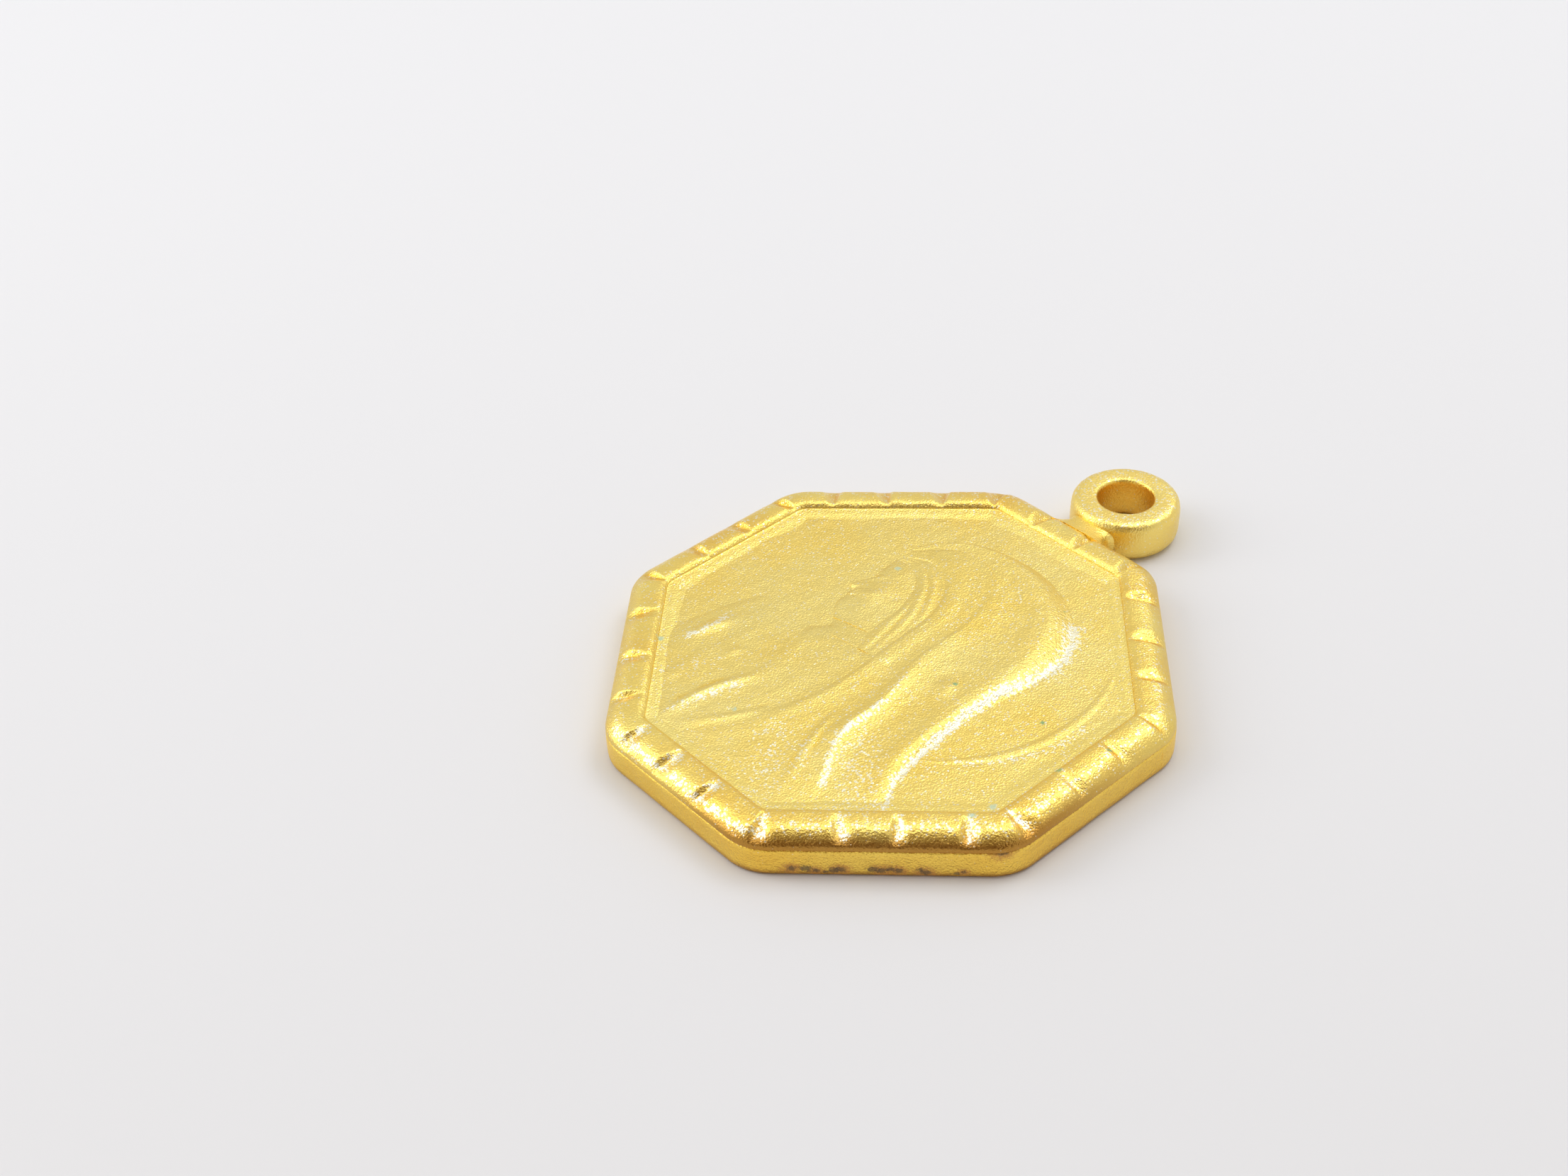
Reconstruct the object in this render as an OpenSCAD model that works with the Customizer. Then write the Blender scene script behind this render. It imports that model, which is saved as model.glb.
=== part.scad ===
// Octagonal devotional medal with a padded border, a veiled figure in low relief and a fixed loop.
// Millimetres. The origin is the centre of the flat back, +Y points to the loop, +Z out of the face.

/* [Plate] */
// Width of the octagonal plate across its flats
plate_w = 13; // [12:0.1:16]
// Height of the octagonal plate across its flats
plate_h = 13.4; // [12.4:0.1:16]
// Length that each corner is cut back along both of its sides
corner_cut = 4.08; // [3.6:0.02:4.4]
// Height of the plain side wall
wall_h = 0.75; // [0.5:0.05:1.2]
// Bevel round the edge of the back
back_bevel = 0.06; // [0.02:0.01:0.2]

/* [Border] */
// Number of cushion pads round the border
pad_count = 28; // [20:4:32]
// Width of the border, from the wall to the lip line
border_w = 1.05; // [0.95:0.01:1.2]
// Height of the border's bed over the wall, at its inner side
bed_rise = 0.18; // [0.1:0.01:0.3]
// Height of the bed's outer edge over the wall
bed_edge = 0.03; // [0.02:0.01:0.06]
// Width of the part of the border that a pad covers
pad_w = 0.85; // [0.7:0.01:0.9]
// Height of a pad's crown over the bed
pad_rise = 0.27; // [0.15:0.01:0.5]
// Set-back of the pads from the wall
pad_setback = 0.02; // [0:0.01:0.06]
// Width of the notch between two pads
notch_w = 0.2; // [0.1:0.02:0.4]
// How far the row of pads is shifted counter-clockwise from an even layout
pad_shift = 0.2; // [0:0.02:0.6]
// Width of the thin lip line round the field
lip_w = 0.15; // [0.1:0.01:0.2]
// Height of the lip line over the field
lip_rise = 0.07; // [0.03:0.01:0.15]

/* [Relief] */
// Height of the field over the wall
field_rise = 0.19; // [0.1:0.01:0.3]
// Height of the relief's highest fold over the field
relief_h = 0.3; // [0.2:0.01:0.6]
// Height of the face, from the hairline to the chin
face_h = 2.35; // [2.1:0.05:2.5]
// Lean of the face, in degrees from upright
face_lean = 6; // [0:1:10]
// Gap between the lip line and the arc line behind the veil, at the right
halo_gap = 0.4; // [0.3:0.05:0.6]
// Width of the arc line
halo_w = 0.24; // [0.1:0.02:0.4]

/* [Loop] */
// Outer diameter of the loop
loop_d = 2.8; // [2.4:0.1:3.6]
// Diameter of the loop's bore
bore_d = 1.4; // [1:0.1:1.8]
// Height of the loop along its bore
loop_h = 1.1; // [0.8:0.05:1.4]
// Gap between the plate and the loop, which the neck spans
neck_l = 0.3; // [0.1:0.05:0.8]
// Width of the neck at the plate
neck_w = 2; // [1.2:0.1:2.2]
// Height of the neck's underside over the back
neck_lift = 0.08; // [0.04:0.02:0.2]
// Rounding of the bore's two mouths
mouth_r = 0.1; // [0.05:0.01:0.15]
// Rounding of the loop's two outer rims
rim_r = 0.3; // [0.1:0.05:0.35]

/* [Hidden] */
$fn = 64;
// Steps in each soft corner of the border
arc_steps = 6;
// Samples between two points of a relief line
line_steps = 4;

half_w = plate_w / 2;
half_h = plate_h / 2;
field_z = wall_h + field_rise;
bed_z = wall_h + bed_rise;

// The field's corners keep a small radius, and every border line runs parallel outside them.
field_corner_r = lip_w * 2 / 3;
field_inset = border_w + lip_w;
corner_r = field_inset + field_corner_r;

// Corners of the octagon that the soft corners are centred on, counter-clockwise from the right
core_x = half_w - corner_r;
core_y = half_h - corner_r;
core_cut = corner_cut + corner_r * tan(45 / 2);
core_flat_x = half_w - core_cut;
core_flat_y = half_h - core_cut;
core = [
    [core_x, core_flat_y], [core_flat_x, core_y], [-core_flat_x, core_y], [-core_x, core_flat_y],
    [-core_x, -core_flat_y], [-core_flat_x, -core_y], [core_flat_x, -core_y], [core_x, -core_flat_y]
];

// The gold of the face, of the side wall and of the loop
face_gold = "#ecd478";
wall_gold = "#dcb446";
loop_gold = "#e8c85c";

function heading(angle) = [cos(angle), sin(angle)];
function core_side(k) = norm(core[(k + 1) % 8] - core[k]);

// Outline of the octagon, drawn in by an inset
function outline(inset) = [
    for (k = [0:7]) for (j = [0:arc_steps])
        core[k] + (corner_r - inset) * heading(45 * (k + j / arc_steps))
];

// The way round the border, measured along the middle of the pads
arc_len = (corner_r - pad_w / 2) * PI / 4;
function side_sum(k) = k == 0 ? 0 : side_sum(k - 1) + core_side(k - 1);
function corner_start(k) = k * arc_len + side_sum(k);
way_round = corner_start(8);
function way_table(at) = [
    for (k = [0:8]) for (end = [0, 1])
        if (k < 8 || end == 0) [corner_start(k) + end * arc_len, at[2 * k + end]]
];
way_x = way_table([for (k = [0:8]) for (end = [0, 1]) core[k % 8][0]]);
way_y = way_table([for (k = [0:8]) for (end = [0, 1]) core[k % 8][1]]);
way_angle = way_table([for (k = [0:8]) for (end = [0, 1]) 45 * (k + end)]);
bottom_middle = corner_start(5) + arc_len + core_side(5) / 2;

function wrapped(way) = way - way_round * floor(way / way_round);
function border_point(way, inset) =
    let (w = wrapped(way))
    [lookup(w, way_x), lookup(w, way_y)] + (corner_r - inset) * heading(lookup(w, way_angle));

// Height of the bed's sloped top at an inset
function bed_top(inset) =
    wall_h + bed_edge + (bed_rise - bed_edge) * min(1, inset / (pad_setback + pad_w));

// A closed solid over a grid: top and base are rows of points, and only the base's rim is used
module grid_solid(top, base) {
    rows = len(top) - 1;
    cols = len(top[0]) - 1;
    tops = (rows + 1) * (cols + 1);
    inner = cols - 1;
    left = tops;
    right = left + rows + 1;
    first = right + rows + 1;
    last = first + inner;
    points = [
        for (row = top) for (p = row) p,
        for (row = base) row[0],
        for (row = base) row[cols],
        for (j = [1:1:inner]) base[0][j],
        for (j = [1:1:inner]) base[rows][j]
    ];
    function t(i, j) = i * (cols + 1) + j;
    function f(j) = j == 0 ? left : j == cols ? right : first + j - 1;
    function e(j) = j == 0 ? left + rows : j == cols ? right + rows : last + j - 1;
    faces = [
        for (i = [0:rows - 1]) for (j = [0:cols - 1])
            let (a = t(i, j), b = t(i, j + 1), c = t(i + 1, j + 1), d = t(i + 1, j))
            for (tri = [[a, b, c], [a, c, d]]) tri,
        for (j = [0:cols - 1]) [t(0, j + 1), t(0, j), f(j), f(j + 1)],
        for (j = [0:cols - 1]) [t(rows, j), t(rows, j + 1), e(j + 1), e(j)],
        for (i = [0:rows - 1]) [t(i, 0), t(i + 1, 0), left + i + 1, left + i],
        for (i = [0:rows - 1]) [t(i + 1, cols), t(i, cols), right + i, right + i + 1],
        for (i = [1:1:rows - 2]) [left + i, left + i + 1, right + i + 1, right + i],
        [left + 1, right + 1, for (j = [cols:-1:0]) f(j)],
        [right + rows - 1, left + rows - 1, for (j = [0:cols]) e(j)]
    ];
    polyhedron(points = points, faces = faces, convexity = 6);
}

// A closed ring round the octagon: the profile's points are [inset, height], clockwise
module border_ring(profile) {
    n = len(profile);
    loops = [for (p = profile) [for (q = outline(p[0])) [q[0], q[1], p[1]]]];
    m = len(loops[0]);
    polyhedron(
        points = [for (ring = loops) for (p = ring) p],
        faces = [
            for (k = [0:n - 1]) for (i = [0:m - 1])
                let (a = k * m, b = ((k + 1) % n) * m, j = (i + 1) % m)
                for (tri = [[a + i, b + i, b + j], [a + i, b + j, a + j]]) tri
        ],
        convexity = 6
    );
}

module plate() {
    rims = [[back_bevel, 0], [0, back_bevel], [0, wall_h]];
    loops = [for (r = rims) [for (q = outline(r[0])) [q[0], q[1], r[1]]]];
    m = len(loops[0]);
    color(wall_gold)
        polyhedron(
            points = [for (ring = loops) for (p = ring) p],
            faces = [
                [for (i = [0:m - 1]) i],
                [for (i = [m - 1:-1:0]) 2 * m + i],
                for (k = [0, 1]) for (i = [0:m - 1])
                    let (a = k * m, b = (k + 1) * m, j = (i + 1) % m)
                    for (tri = [[a + i, b + i, b + j], [a + i, b + j, a + j]]) tri
            ]
        );
}

module field_plate() {
    color(face_gold)
        translate([0, 0, wall_h])
            linear_extrude(field_rise)
                polygon(outline(field_inset));
}

module border_bed() {
    color(wall_gold)
        border_ring([
            [0, wall_h], [0, wall_h + bed_edge], [pad_setback + pad_w, bed_z],
            [border_w, bed_z], [border_w, wall_h]
        ]);
}

// The lip line's crown is narrower than its foot
lip_shoulder_share = 0.25;
lip_z = field_z + lip_rise;
module lip_line() {
    bevel = lip_w * lip_shoulder_share;
    color(face_gold)
        border_ring([
            [border_w, wall_h], [border_w, lip_z - bevel], [border_w + bevel, lip_z],
            [field_inset - bevel, lip_z], [field_inset, lip_z - bevel], [field_inset, wall_h]
        ]);
}

// A pad across the border and along it: [share of the way, share of the crown]
pad_cross_shares = [
    [0, 0.15], [0.05, 0.41], [0.12, 0.59], [0.21, 0.76], [0.33, 0.9], [0.47, 0.99],
    [0.62, 1], [0.78, 0.9], [0.89, 0.72], [0.97, 0.5], [1, 0.26]
];
pad_along_shares = [
    [-1, 0.35], [-0.92, 0.66], [-0.78, 0.86], [-0.5, 0.98], [0, 1],
    [0.5, 0.98], [0.78, 0.86], [0.92, 0.66], [1, 0.35]
];
pad_pitch = way_round / pad_count;
module border_pad(number) {
    half = (pad_pitch - notch_w) / 2;
    middle = bottom_middle + pad_shift + (number - 1) * pad_pitch;
    function spot(a, c, rise) =
        let (inset = pad_setback + c[0] * pad_w, p = border_point(middle + a[0] * half, inset))
        [p[0], p[1], bed_top(inset) + rise * a[1] * c[1]];
    color(face_gold)
        grid_solid(
            [for (a = pad_along_shares) [for (c = pad_cross_shares) spot(a, c, pad_rise)]],
            [for (a = pad_along_shares) [for (c = pad_cross_shares) spot(a, c, 0)]]
        );
}

// Relief lines: points are shares of the plate's half sizes, and each line runs down the figure
veil_edge_shares = [
    [-0.37, 0.48], [-0.29, 0.59], [-0.12, 0.68], [0.1, 0.69], [0.31, 0.6],
    [0.46, 0.42], [0.5, 0.18], [0.473, -0.05], [0.485, -0.31]
];
veil_fold_shares = [
    [-0.35, 0.44], [-0.26, 0.52], [-0.11, 0.56], [0.03, 0.49], [0.115, 0.36],
    [0.14, 0.2], [0.15, 0.02], [0.195, -0.19], [0.225, -0.43]
];
veil_front_shares = [
    [-0.33, 0.4], [-0.24, 0.43], [-0.13, 0.39], [-0.05, 0.3], [-0.01, 0.18],
    [0, 0.04], [0.01, -0.1], [0.01, -0.29], [-0.035, -0.5]
];
hairline_shares = [
    [-0.34, 0.38], [-0.27, 0.37], [-0.19, 0.32], [-0.14, 0.24], [-0.12, 0.15], [-0.12, 0.03],
    [-0.07, -0.105]
];
throat_shares = [[-0.28, -0.03], [-0.26, -0.07], [-0.31, -0.13]];
chest_fold_shares = [[-0.31, -0.13], [-0.26, -0.28], [-0.25, -0.5]];
sleeve_fold_shares = [[-0.4, -0.07], [-0.44, -0.22], [-0.46, -0.42]];
mantle_edge_shares = [[-0.5, -0.02], [-0.58, -0.14], [-0.63, -0.28]];

// Ends of the lines on the field's edge: [side, share of the way along it]
veil_edge_end_share = [6, 0.55];
veil_fold_end_share = [6, 0.19];
veil_front_end_share = [5, 0.17];
chest_fold_end_share = [5, 0];
sleeve_fold_end_share = [4, 0.66];
mantle_edge_end_share = [4, 0.3];

function placed(share) = [share[0] * half_w, share[1] * half_h];
function on_side(end) = core[end[0]] + end[1] * (core[(end[0] + 1) % 8] - core[end[0]]);
function line(shares, ends) = concat([for (s = shares) placed(s)], [for (e = ends) on_side(e)]);

function curve_point(p, i, u) =
    let (
        n = len(p) - 1,
        b = p[i],
        c = p[i + 1],
        a = i == 0 ? 2 * b - c : p[i - 1],
        d = i + 1 == n ? 2 * c - b : p[i + 2]
    )
    b + u / 2 * (c - a + u * (2 * a - 5 * b + 4 * c - d + u * (3 * b - a - 3 * c + d)));

// A smooth curve through a line's points, and a stretch of it from one point to another
function smooth(p, steps) = concat(
    [for (i = [0:len(p) - 2]) for (k = [0:steps - 1]) curve_point(p, i, k / steps)],
    [p[len(p) - 1]]
);
function stretch(curve, from, to) = [for (i = [from * line_steps:to * line_steps]) curve[i]];

veil_edge = smooth(line(veil_edge_shares, [veil_edge_end_share]), line_steps);
veil_fold = smooth(line(veil_fold_shares, [veil_fold_end_share]), line_steps);
veil_front = smooth(line(veil_front_shares, [veil_front_end_share]), line_steps);
hairline = smooth(line(hairline_shares, []), line_steps);
throat = smooth(line(throat_shares, []), line_steps / 2);
chest_fold = smooth(line(chest_fold_shares, [chest_fold_end_share]), line_steps);
sleeve_fold = smooth(line(sleeve_fold_shares, [sleeve_fold_end_share]), line_steps);
mantle_edge = smooth(line(mantle_edge_shares, [mantle_edge_end_share]), line_steps);

// The veil's front line runs along the head for its first stretches, and the hairline along the face
head_stretches = 6;
face_stretches = 5;
front_stretches = len(veil_front_shares);

// One fold of the relief, between a left and a right line. The heights are shares of relief_h:
// across the fold, and along it from the head down. Where the field has a corner between the
// ends of the two lines, the fold's foot reaches out to it.
foot_reach_shares = [[0, 0], [0.8, 0], [1, 1]];
module fold(left, right, across_shares, along_shares, corner = undef) {
    rows = len(left) - 1;
    foot = right[rows] - left[rows];
    corner_share = is_undef(corner) ? 1 / 2 : (corner - left[rows]) * foot / (foot * foot);
    reach = is_undef(corner) ? [0, 0] : corner - left[rows] - corner_share * foot;
    function bend(i, c) =
        lookup(i / rows, foot_reach_shares) * lookup(c, [[0, 0], [corner_share, 1], [1, 0]]) * reach;
    function spot(i, c, rise) =
        let (p = left[i] + c[0] * (right[i] - left[i]) + bend(i, c[0]))
        [p[0], p[1], field_z + rise * c[1] * lookup(i / rows, along_shares)];
    color(face_gold)
        grid_solid(
            [for (i = [0:rows]) [for (c = across_shares) spot(i, c, relief_h)]],
            [for (i = [0:rows]) [for (c = across_shares) spot(i, c, 0)]]
        );
}

veil_along_shares = [[0, 0.7], [0.12, 0.92], [0.3, 1], [0.6, 0.95], [0.85, 0.8], [1, 0.55]];
mantle_along_shares = [[0, 0.75], [0.2, 1], [0.7, 0.95], [1, 0.7]];

module veil_back() {
    fold(veil_fold, veil_edge,
        [
            [0, 0.6], [0.12, 0.72], [0.35, 0.7], [0.6, 0.82],
            [0.74, 1], [0.84, 0.88], [0.93, 0.5], [1, 0.15]
        ],
        veil_along_shares);
}

module veil_front() {
    fold(veil_front, veil_fold,
        [[0, 0.55], [0.1, 0.78], [0.3, 0.82], [0.55, 0.72], [0.8, 0.84], [0.92, 0.82], [1, 0.6]],
        veil_along_shares, core[6]);
}

module hair() {
    fold(hairline, stretch(veil_front, 0, head_stretches),
        [[0, 0.5], [0.25, 0.66], [0.6, 0.68], [1, 0.5]],
        [[0, 0.7], [0.2, 0.95], [0.6, 1], [1, 0.6]]);
}

// The profile in shares of the face's height, from the hairline to under the chin:
// [forwards, upwards], on common thirds for brow, nose and chin
profile_shares = [
    [0.04, 1], [0.05, 0.84], [0.06, 0.68], [0.03, 0.61], [0.2, 0.37], [0.08, 0.32], [0.1, 0.25],
    [0.07, 0.205], [0.09, 0.15], [0.07, 0.04], [-0.04, 0]
];
module face() {
    chin = throat[0];
    brow = hairline[0];
    profile = [
        for (i = [0:len(profile_shares) - 1])
            let (s = profile_shares[i], x = -s[0], y = s[1] - 1)
            i == len(profile_shares) - 1 ? chin
                : brow + face_h * [
                    x * cos(face_lean) - y * sin(face_lean),
                    x * sin(face_lean) + y * cos(face_lean)
                ]
    ];
    fold(smooth(profile, line_steps / 2), stretch(hairline, 0, face_stretches),
        [[0, 0.28], [0.08, 0.5], [0.2, 0.62], [0.4, 0.68], [0.65, 0.66], [0.85, 0.58], [1, 0.45]],
        [[0, 0.9], [0.25, 1], [0.34, 0.9], [0.5, 1.06], [0.66, 1], [0.8, 0.95], [1, 0.7]]);
}

module neck() {
    fold(throat, stretch(hairline, face_stretches, head_stretches),
        [[0, 0.2], [0.2, 0.36], [0.5, 0.42], [0.8, 0.36], [1, 0.3]],
        [[0, 0.9], [0.5, 1], [1, 1]]);
}

module mantle_chest() {
    fold(chest_fold, stretch(veil_front, head_stretches, front_stretches),
        [[0, 0.55], [0.1, 0.68], [0.35, 0.5], [0.6, 0.62], [0.85, 0.5], [1, 0.4]],
        mantle_along_shares);
}

module mantle_fold() {
    fold(sleeve_fold, chest_fold,
        [[0, 0.45], [0.15, 0.6], [0.45, 0.5], [0.75, 0.48], [1, 0.35]],
        mantle_along_shares);
}

module mantle_sleeve() {
    fold(mantle_edge, sleeve_fold,
        [[0, 0.15], [0.12, 0.45], [0.35, 0.6], [0.7, 0.52], [1, 0.35]],
        mantle_along_shares);
}

// The arc line behind the veil: a flat-bottomed half round, bent about a point by the head.
// It starts at this angle and runs up through this many degrees, inside the lip line.
halo_centre_shares = [0.1, 0.15];
halo_start = -52;
halo_sweep = 82;
halo_centre = placed(halo_centre_shares);
halo_r = half_w - field_inset - halo_gap - halo_w / 2 - halo_centre[0];
module halo_line() {
    rise = halo_w / 4;
    color(face_gold)
        intersection() {
            translate([halo_centre[0], halo_centre[1], field_z])
                rotate([0, 0, halo_start])
                    rotate_extrude(angle = halo_sweep)
                        polygon([
                            for (a = [0:30:180])
                                [halo_r - halo_w / 2 * cos(a), rise * sin(a)]
                        ]);
            translate([0, 0, field_z])
                linear_extrude(relief_h)
                    polygon(outline(field_inset));
        }
}

loop_y = half_h + neck_l + loop_d / 2;
loop_wall = (loop_d - bore_d) / 2;
// The loop's section has a flat top between two roundings, and the outer one takes no more than
// this share of what the mouth leaves of the wall.
rim_share = 0.8;
rim_turn = min(rim_r, rim_share * (loop_wall - mouth_r));
function quarter(middle, radius, angles) =
    [for (a = angles) [middle - radius * cos(a), loop_h - radius * (1 - sin(a))]];
loop_mouth = quarter(bore_d / 2 + mouth_r, mouth_r, [0:15:90]);
loop_rim = quarter(loop_d / 2 - rim_turn, rim_turn, [90:15:180]);
function mirrored_back(points) =
    [for (i = [len(points) - 1:-1:0]) [points[i][0], loop_h - points[i][1]]];

module loop() {
    upper = concat(loop_mouth, loop_rim);
    color(loop_gold)
        translate([0, loop_y, 0])
            rotate_extrude()
                polygon(concat(upper, mirrored_back(upper)));
}

module loop_neck() {
    // The neck narrows towards the loop by this share of its width
    waist_share = 0.8;
    color(loop_gold)
        difference() {
            translate([0, half_h, neck_lift])
                linear_extrude(wall_h - neck_lift)
                    polygon([
                        [-neck_w / 2, 0], [neck_w / 2, 0],
                        [waist_share * neck_w / 2, neck_l + loop_d / 2],
                        [-waist_share * neck_w / 2, neck_l + loop_d / 2]
                    ]);
            translate([0, loop_y, 0])
                rotate_extrude()
                    polygon(concat([[0, loop_h]], loop_rim, mirrored_back(loop_rim), [[0, 0]]));
        }
}

pad_names = [for (i = [1:pad_count]) str("border_pad_", i)];

plate();
field_plate();
border_bed();
lip_line();
loop();
loop_neck();
veil_back();
veil_front();
hair();
face();
neck();
mantle_chest();
mantle_fold();
mantle_sleeve();
halo_line();
for (i = [1:pad_count]) border_pad(i);
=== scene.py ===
import math

import bpy
import numpy as np
from mathutils import Matrix, Vector


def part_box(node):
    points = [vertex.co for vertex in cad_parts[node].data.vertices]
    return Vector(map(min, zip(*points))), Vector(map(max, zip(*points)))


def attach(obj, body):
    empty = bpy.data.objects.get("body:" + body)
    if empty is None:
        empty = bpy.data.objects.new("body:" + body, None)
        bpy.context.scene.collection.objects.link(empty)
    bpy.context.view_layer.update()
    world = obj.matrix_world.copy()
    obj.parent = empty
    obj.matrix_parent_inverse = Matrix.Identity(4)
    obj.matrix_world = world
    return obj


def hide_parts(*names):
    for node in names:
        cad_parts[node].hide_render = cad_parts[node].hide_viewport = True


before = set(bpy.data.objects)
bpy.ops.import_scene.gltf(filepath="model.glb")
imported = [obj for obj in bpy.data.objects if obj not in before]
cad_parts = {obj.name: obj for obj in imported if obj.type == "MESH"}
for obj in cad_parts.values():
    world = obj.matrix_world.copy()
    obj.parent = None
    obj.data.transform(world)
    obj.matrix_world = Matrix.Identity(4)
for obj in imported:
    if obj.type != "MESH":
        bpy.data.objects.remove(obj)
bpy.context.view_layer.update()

mm = 0.001
mergeGap = 0.0005  # in mm, like all lengths that no note gives in m
scene = bpy.context.scene
scene.view_settings.view_transform = "Standard"


# small helpers for modelling
def onlySelect(piece):
    bpy.ops.object.select_all(action="DESELECT")
    piece.select_set(True)
    bpy.context.view_layer.objects.active = piece


def switchMode(name):
    bpy.ops.object.mode_set(mode=name)


def newSheet(name, rows, columns):
    # a flat grid to be bent into shape; each point knows its row and its column
    bpy.ops.mesh.primitive_grid_add(x_subdivisions=columns, y_subdivisions=rows, size=2)
    piece = bpy.context.object
    piece.name = piece.data.name = name
    flat = readPoints(piece) * mm
    row = np.rint((flat[:, 1] + 1) / 2 * rows).astype(int)
    column = np.rint((flat[:, 0] + 1) / 2 * columns).astype(int)
    return piece, row, column


def readPoints(piece):
    flat = np.empty(len(piece.data.vertices) * 3, np.float32)
    piece.data.vertices.foreach_get("co", flat)
    return flat.reshape(-1, 3).astype(float) / mm


def setPoints(piece, points):
    piece.data.vertices.foreach_set("co", (np.asarray(points) * mm).astype(np.float32).ravel())
    piece.data.update()


def openEdges():
    bpy.ops.mesh.select_all(action="DESELECT")
    bpy.ops.mesh.select_mode(type="EDGE")
    bpy.ops.mesh.select_non_manifold(extend=False, use_wire=False, use_boundary=True,
                                     use_multi_face=False, use_non_contiguous=False, use_verts=False)


def leaveFacedOut():
    bpy.ops.mesh.select_all(action="SELECT")
    bpy.ops.mesh.normals_make_consistent(inside=False)
    switchMode("OBJECT")


def closeUnder(piece, level):
    # the sheet's open edge goes straight down to a level and is capped there
    onlySelect(piece)
    switchMode("EDIT")
    openEdges()
    bpy.ops.mesh.extrude_edges_move(TRANSFORM_OT_translate={"value": (0, 0, -0.1 * mm)})
    switchMode("OBJECT")  # the new points are selected, and get their level now
    for v in piece.data.vertices:
        if v.select:
            v.co.z = level * mm
    switchMode("EDIT")
    bpy.ops.mesh.edge_face_add()
    leaveFacedOut()


def closeRing(piece, capEnds):
    # the ends of a bent sheet are merged, and its two open rims are capped
    onlySelect(piece)
    switchMode("EDIT")
    bpy.ops.mesh.select_all(action="SELECT")
    bpy.ops.mesh.remove_doubles(threshold=mergeGap * mm)
    if capEnds:
        openEdges()
        bpy.ops.mesh.edge_face_add()
    leaveFacedOut()


def softLine(at, places, heights):
    # a smooth line through the given heights, without overshoot
    places, heights = np.asarray(places, float), np.asarray(heights, float)
    if heights.ndim == 1:
        return softLine(at, places, heights[:, None])[:, 0]
    step = np.diff(places)
    slope = np.diff(heights, axis=0) / step[:, None]
    tangent = np.zeros_like(heights)
    both = slope[:-1] * slope[1:]
    with np.errstate(divide="ignore", invalid="ignore"):
        tangent[1:-1] = np.where(both > 0, 2 * both / (slope[:-1] + slope[1:]), 0)
    tangent[0], tangent[-1] = slope[0], slope[-1]
    k = np.clip(np.searchsorted(places, at, side="right") - 1, 0, len(step) - 1)
    u = np.clip((at - places[k]) / step[k], 0, 1)[:, None]
    d = step[k][:, None]
    return ((1 + 2 * u) * (1 - u) ** 2 * heights[k] + u * (1 - u) ** 2 * d * tangent[k]
            + u * u * (3 - 2 * u) * heights[k + 1] + u * u * (u - 1) * d * tangent[k + 1])


def softTable(stations, places, table, t, c):
    # heights over a piece: one row of the table for each station along it
    across = softLine(c, places, np.asarray(table, float).T)
    return softLine(t, stations, across.T)


def smoothLine(points, steps):
    # an even curve through a line's points, with so many steps between two of them
    p = np.asarray(points, float)
    p = np.vstack([2 * p[0] - p[1], p, 2 * p[-1] - p[-2]])
    u = np.arange(steps)[:, None] / steps
    runs = []
    for i in range(1, len(p) - 2):
        a, b, c, d = p[i - 1:i + 3]
        runs.append(b + u / 2 * (c - a + u * (2 * a - 5 * b + 4 * c - d + u * (3 * b - a - 3 * c + d))))
    return np.vstack(runs + [p[-2:-1]])


noiseCells, noiseShift = 64, (31.7, 17.3)


def softNoise(x, y, size, seed):
    # smooth noise from -1 to 1, in patches of a size
    n = noiseCells
    lattice = np.random.default_rng(seed).uniform(-1, 1, (n, n))
    u, v = x / size + noiseShift[0], y / size + noiseShift[1]
    i, j = np.floor(u).astype(int), np.floor(v).astype(int)
    s, t = u - i, v - j
    s, t = s * s * (3 - 2 * s), t * t * (3 - 2 * t)
    i, j, iNext, jNext = i % n, j % n, (i + 1) % n, (j + 1) % n
    low = lattice[i, j] * (1 - s) + lattice[iNext, j] * s
    high = lattice[i, jNext] * (1 - s) + lattice[iNext, jNext] * s
    return low * (1 - t) + high * t


def bell(value, middle, width):
    return np.exp(-((value - middle) / width) ** 2)


def growing(value, start, over):
    # 0 up to the start, and 1 from so much over it on
    return np.clip((value - start) / over, 0, 1)


def distanceTo(x, y, line):
    # how far each point is from a line, and how far along the line it is
    best, share = np.full(np.shape(x), 1e9), np.zeros(np.shape(x))
    count = len(line) - 1
    for k in range(count):
        (ax, ay), (bx, by) = line[k], line[k + 1]
        s = np.clip(((x - ax) * (bx - ax) + (y - ay) * (by - ay)) / ((bx - ax) ** 2 + (by - ay) ** 2), 0, 1)
        d = np.hypot(x - ax - s * (bx - ax), y - ay - s * (by - ay))
        near = d < best
        best, share = np.where(near, d, best), np.where(near, (k + s) / count, share)
    return best, share


def storeShare(piece, name, value):
    piece.data.attributes.new(name, "FLOAT", "POINT").data.foreach_set("value", value.astype(np.float32))


# rounds of softening to compare with, and the depth that is all hollow
hollowPasses, hollowDepth = 8, 0.01


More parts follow.
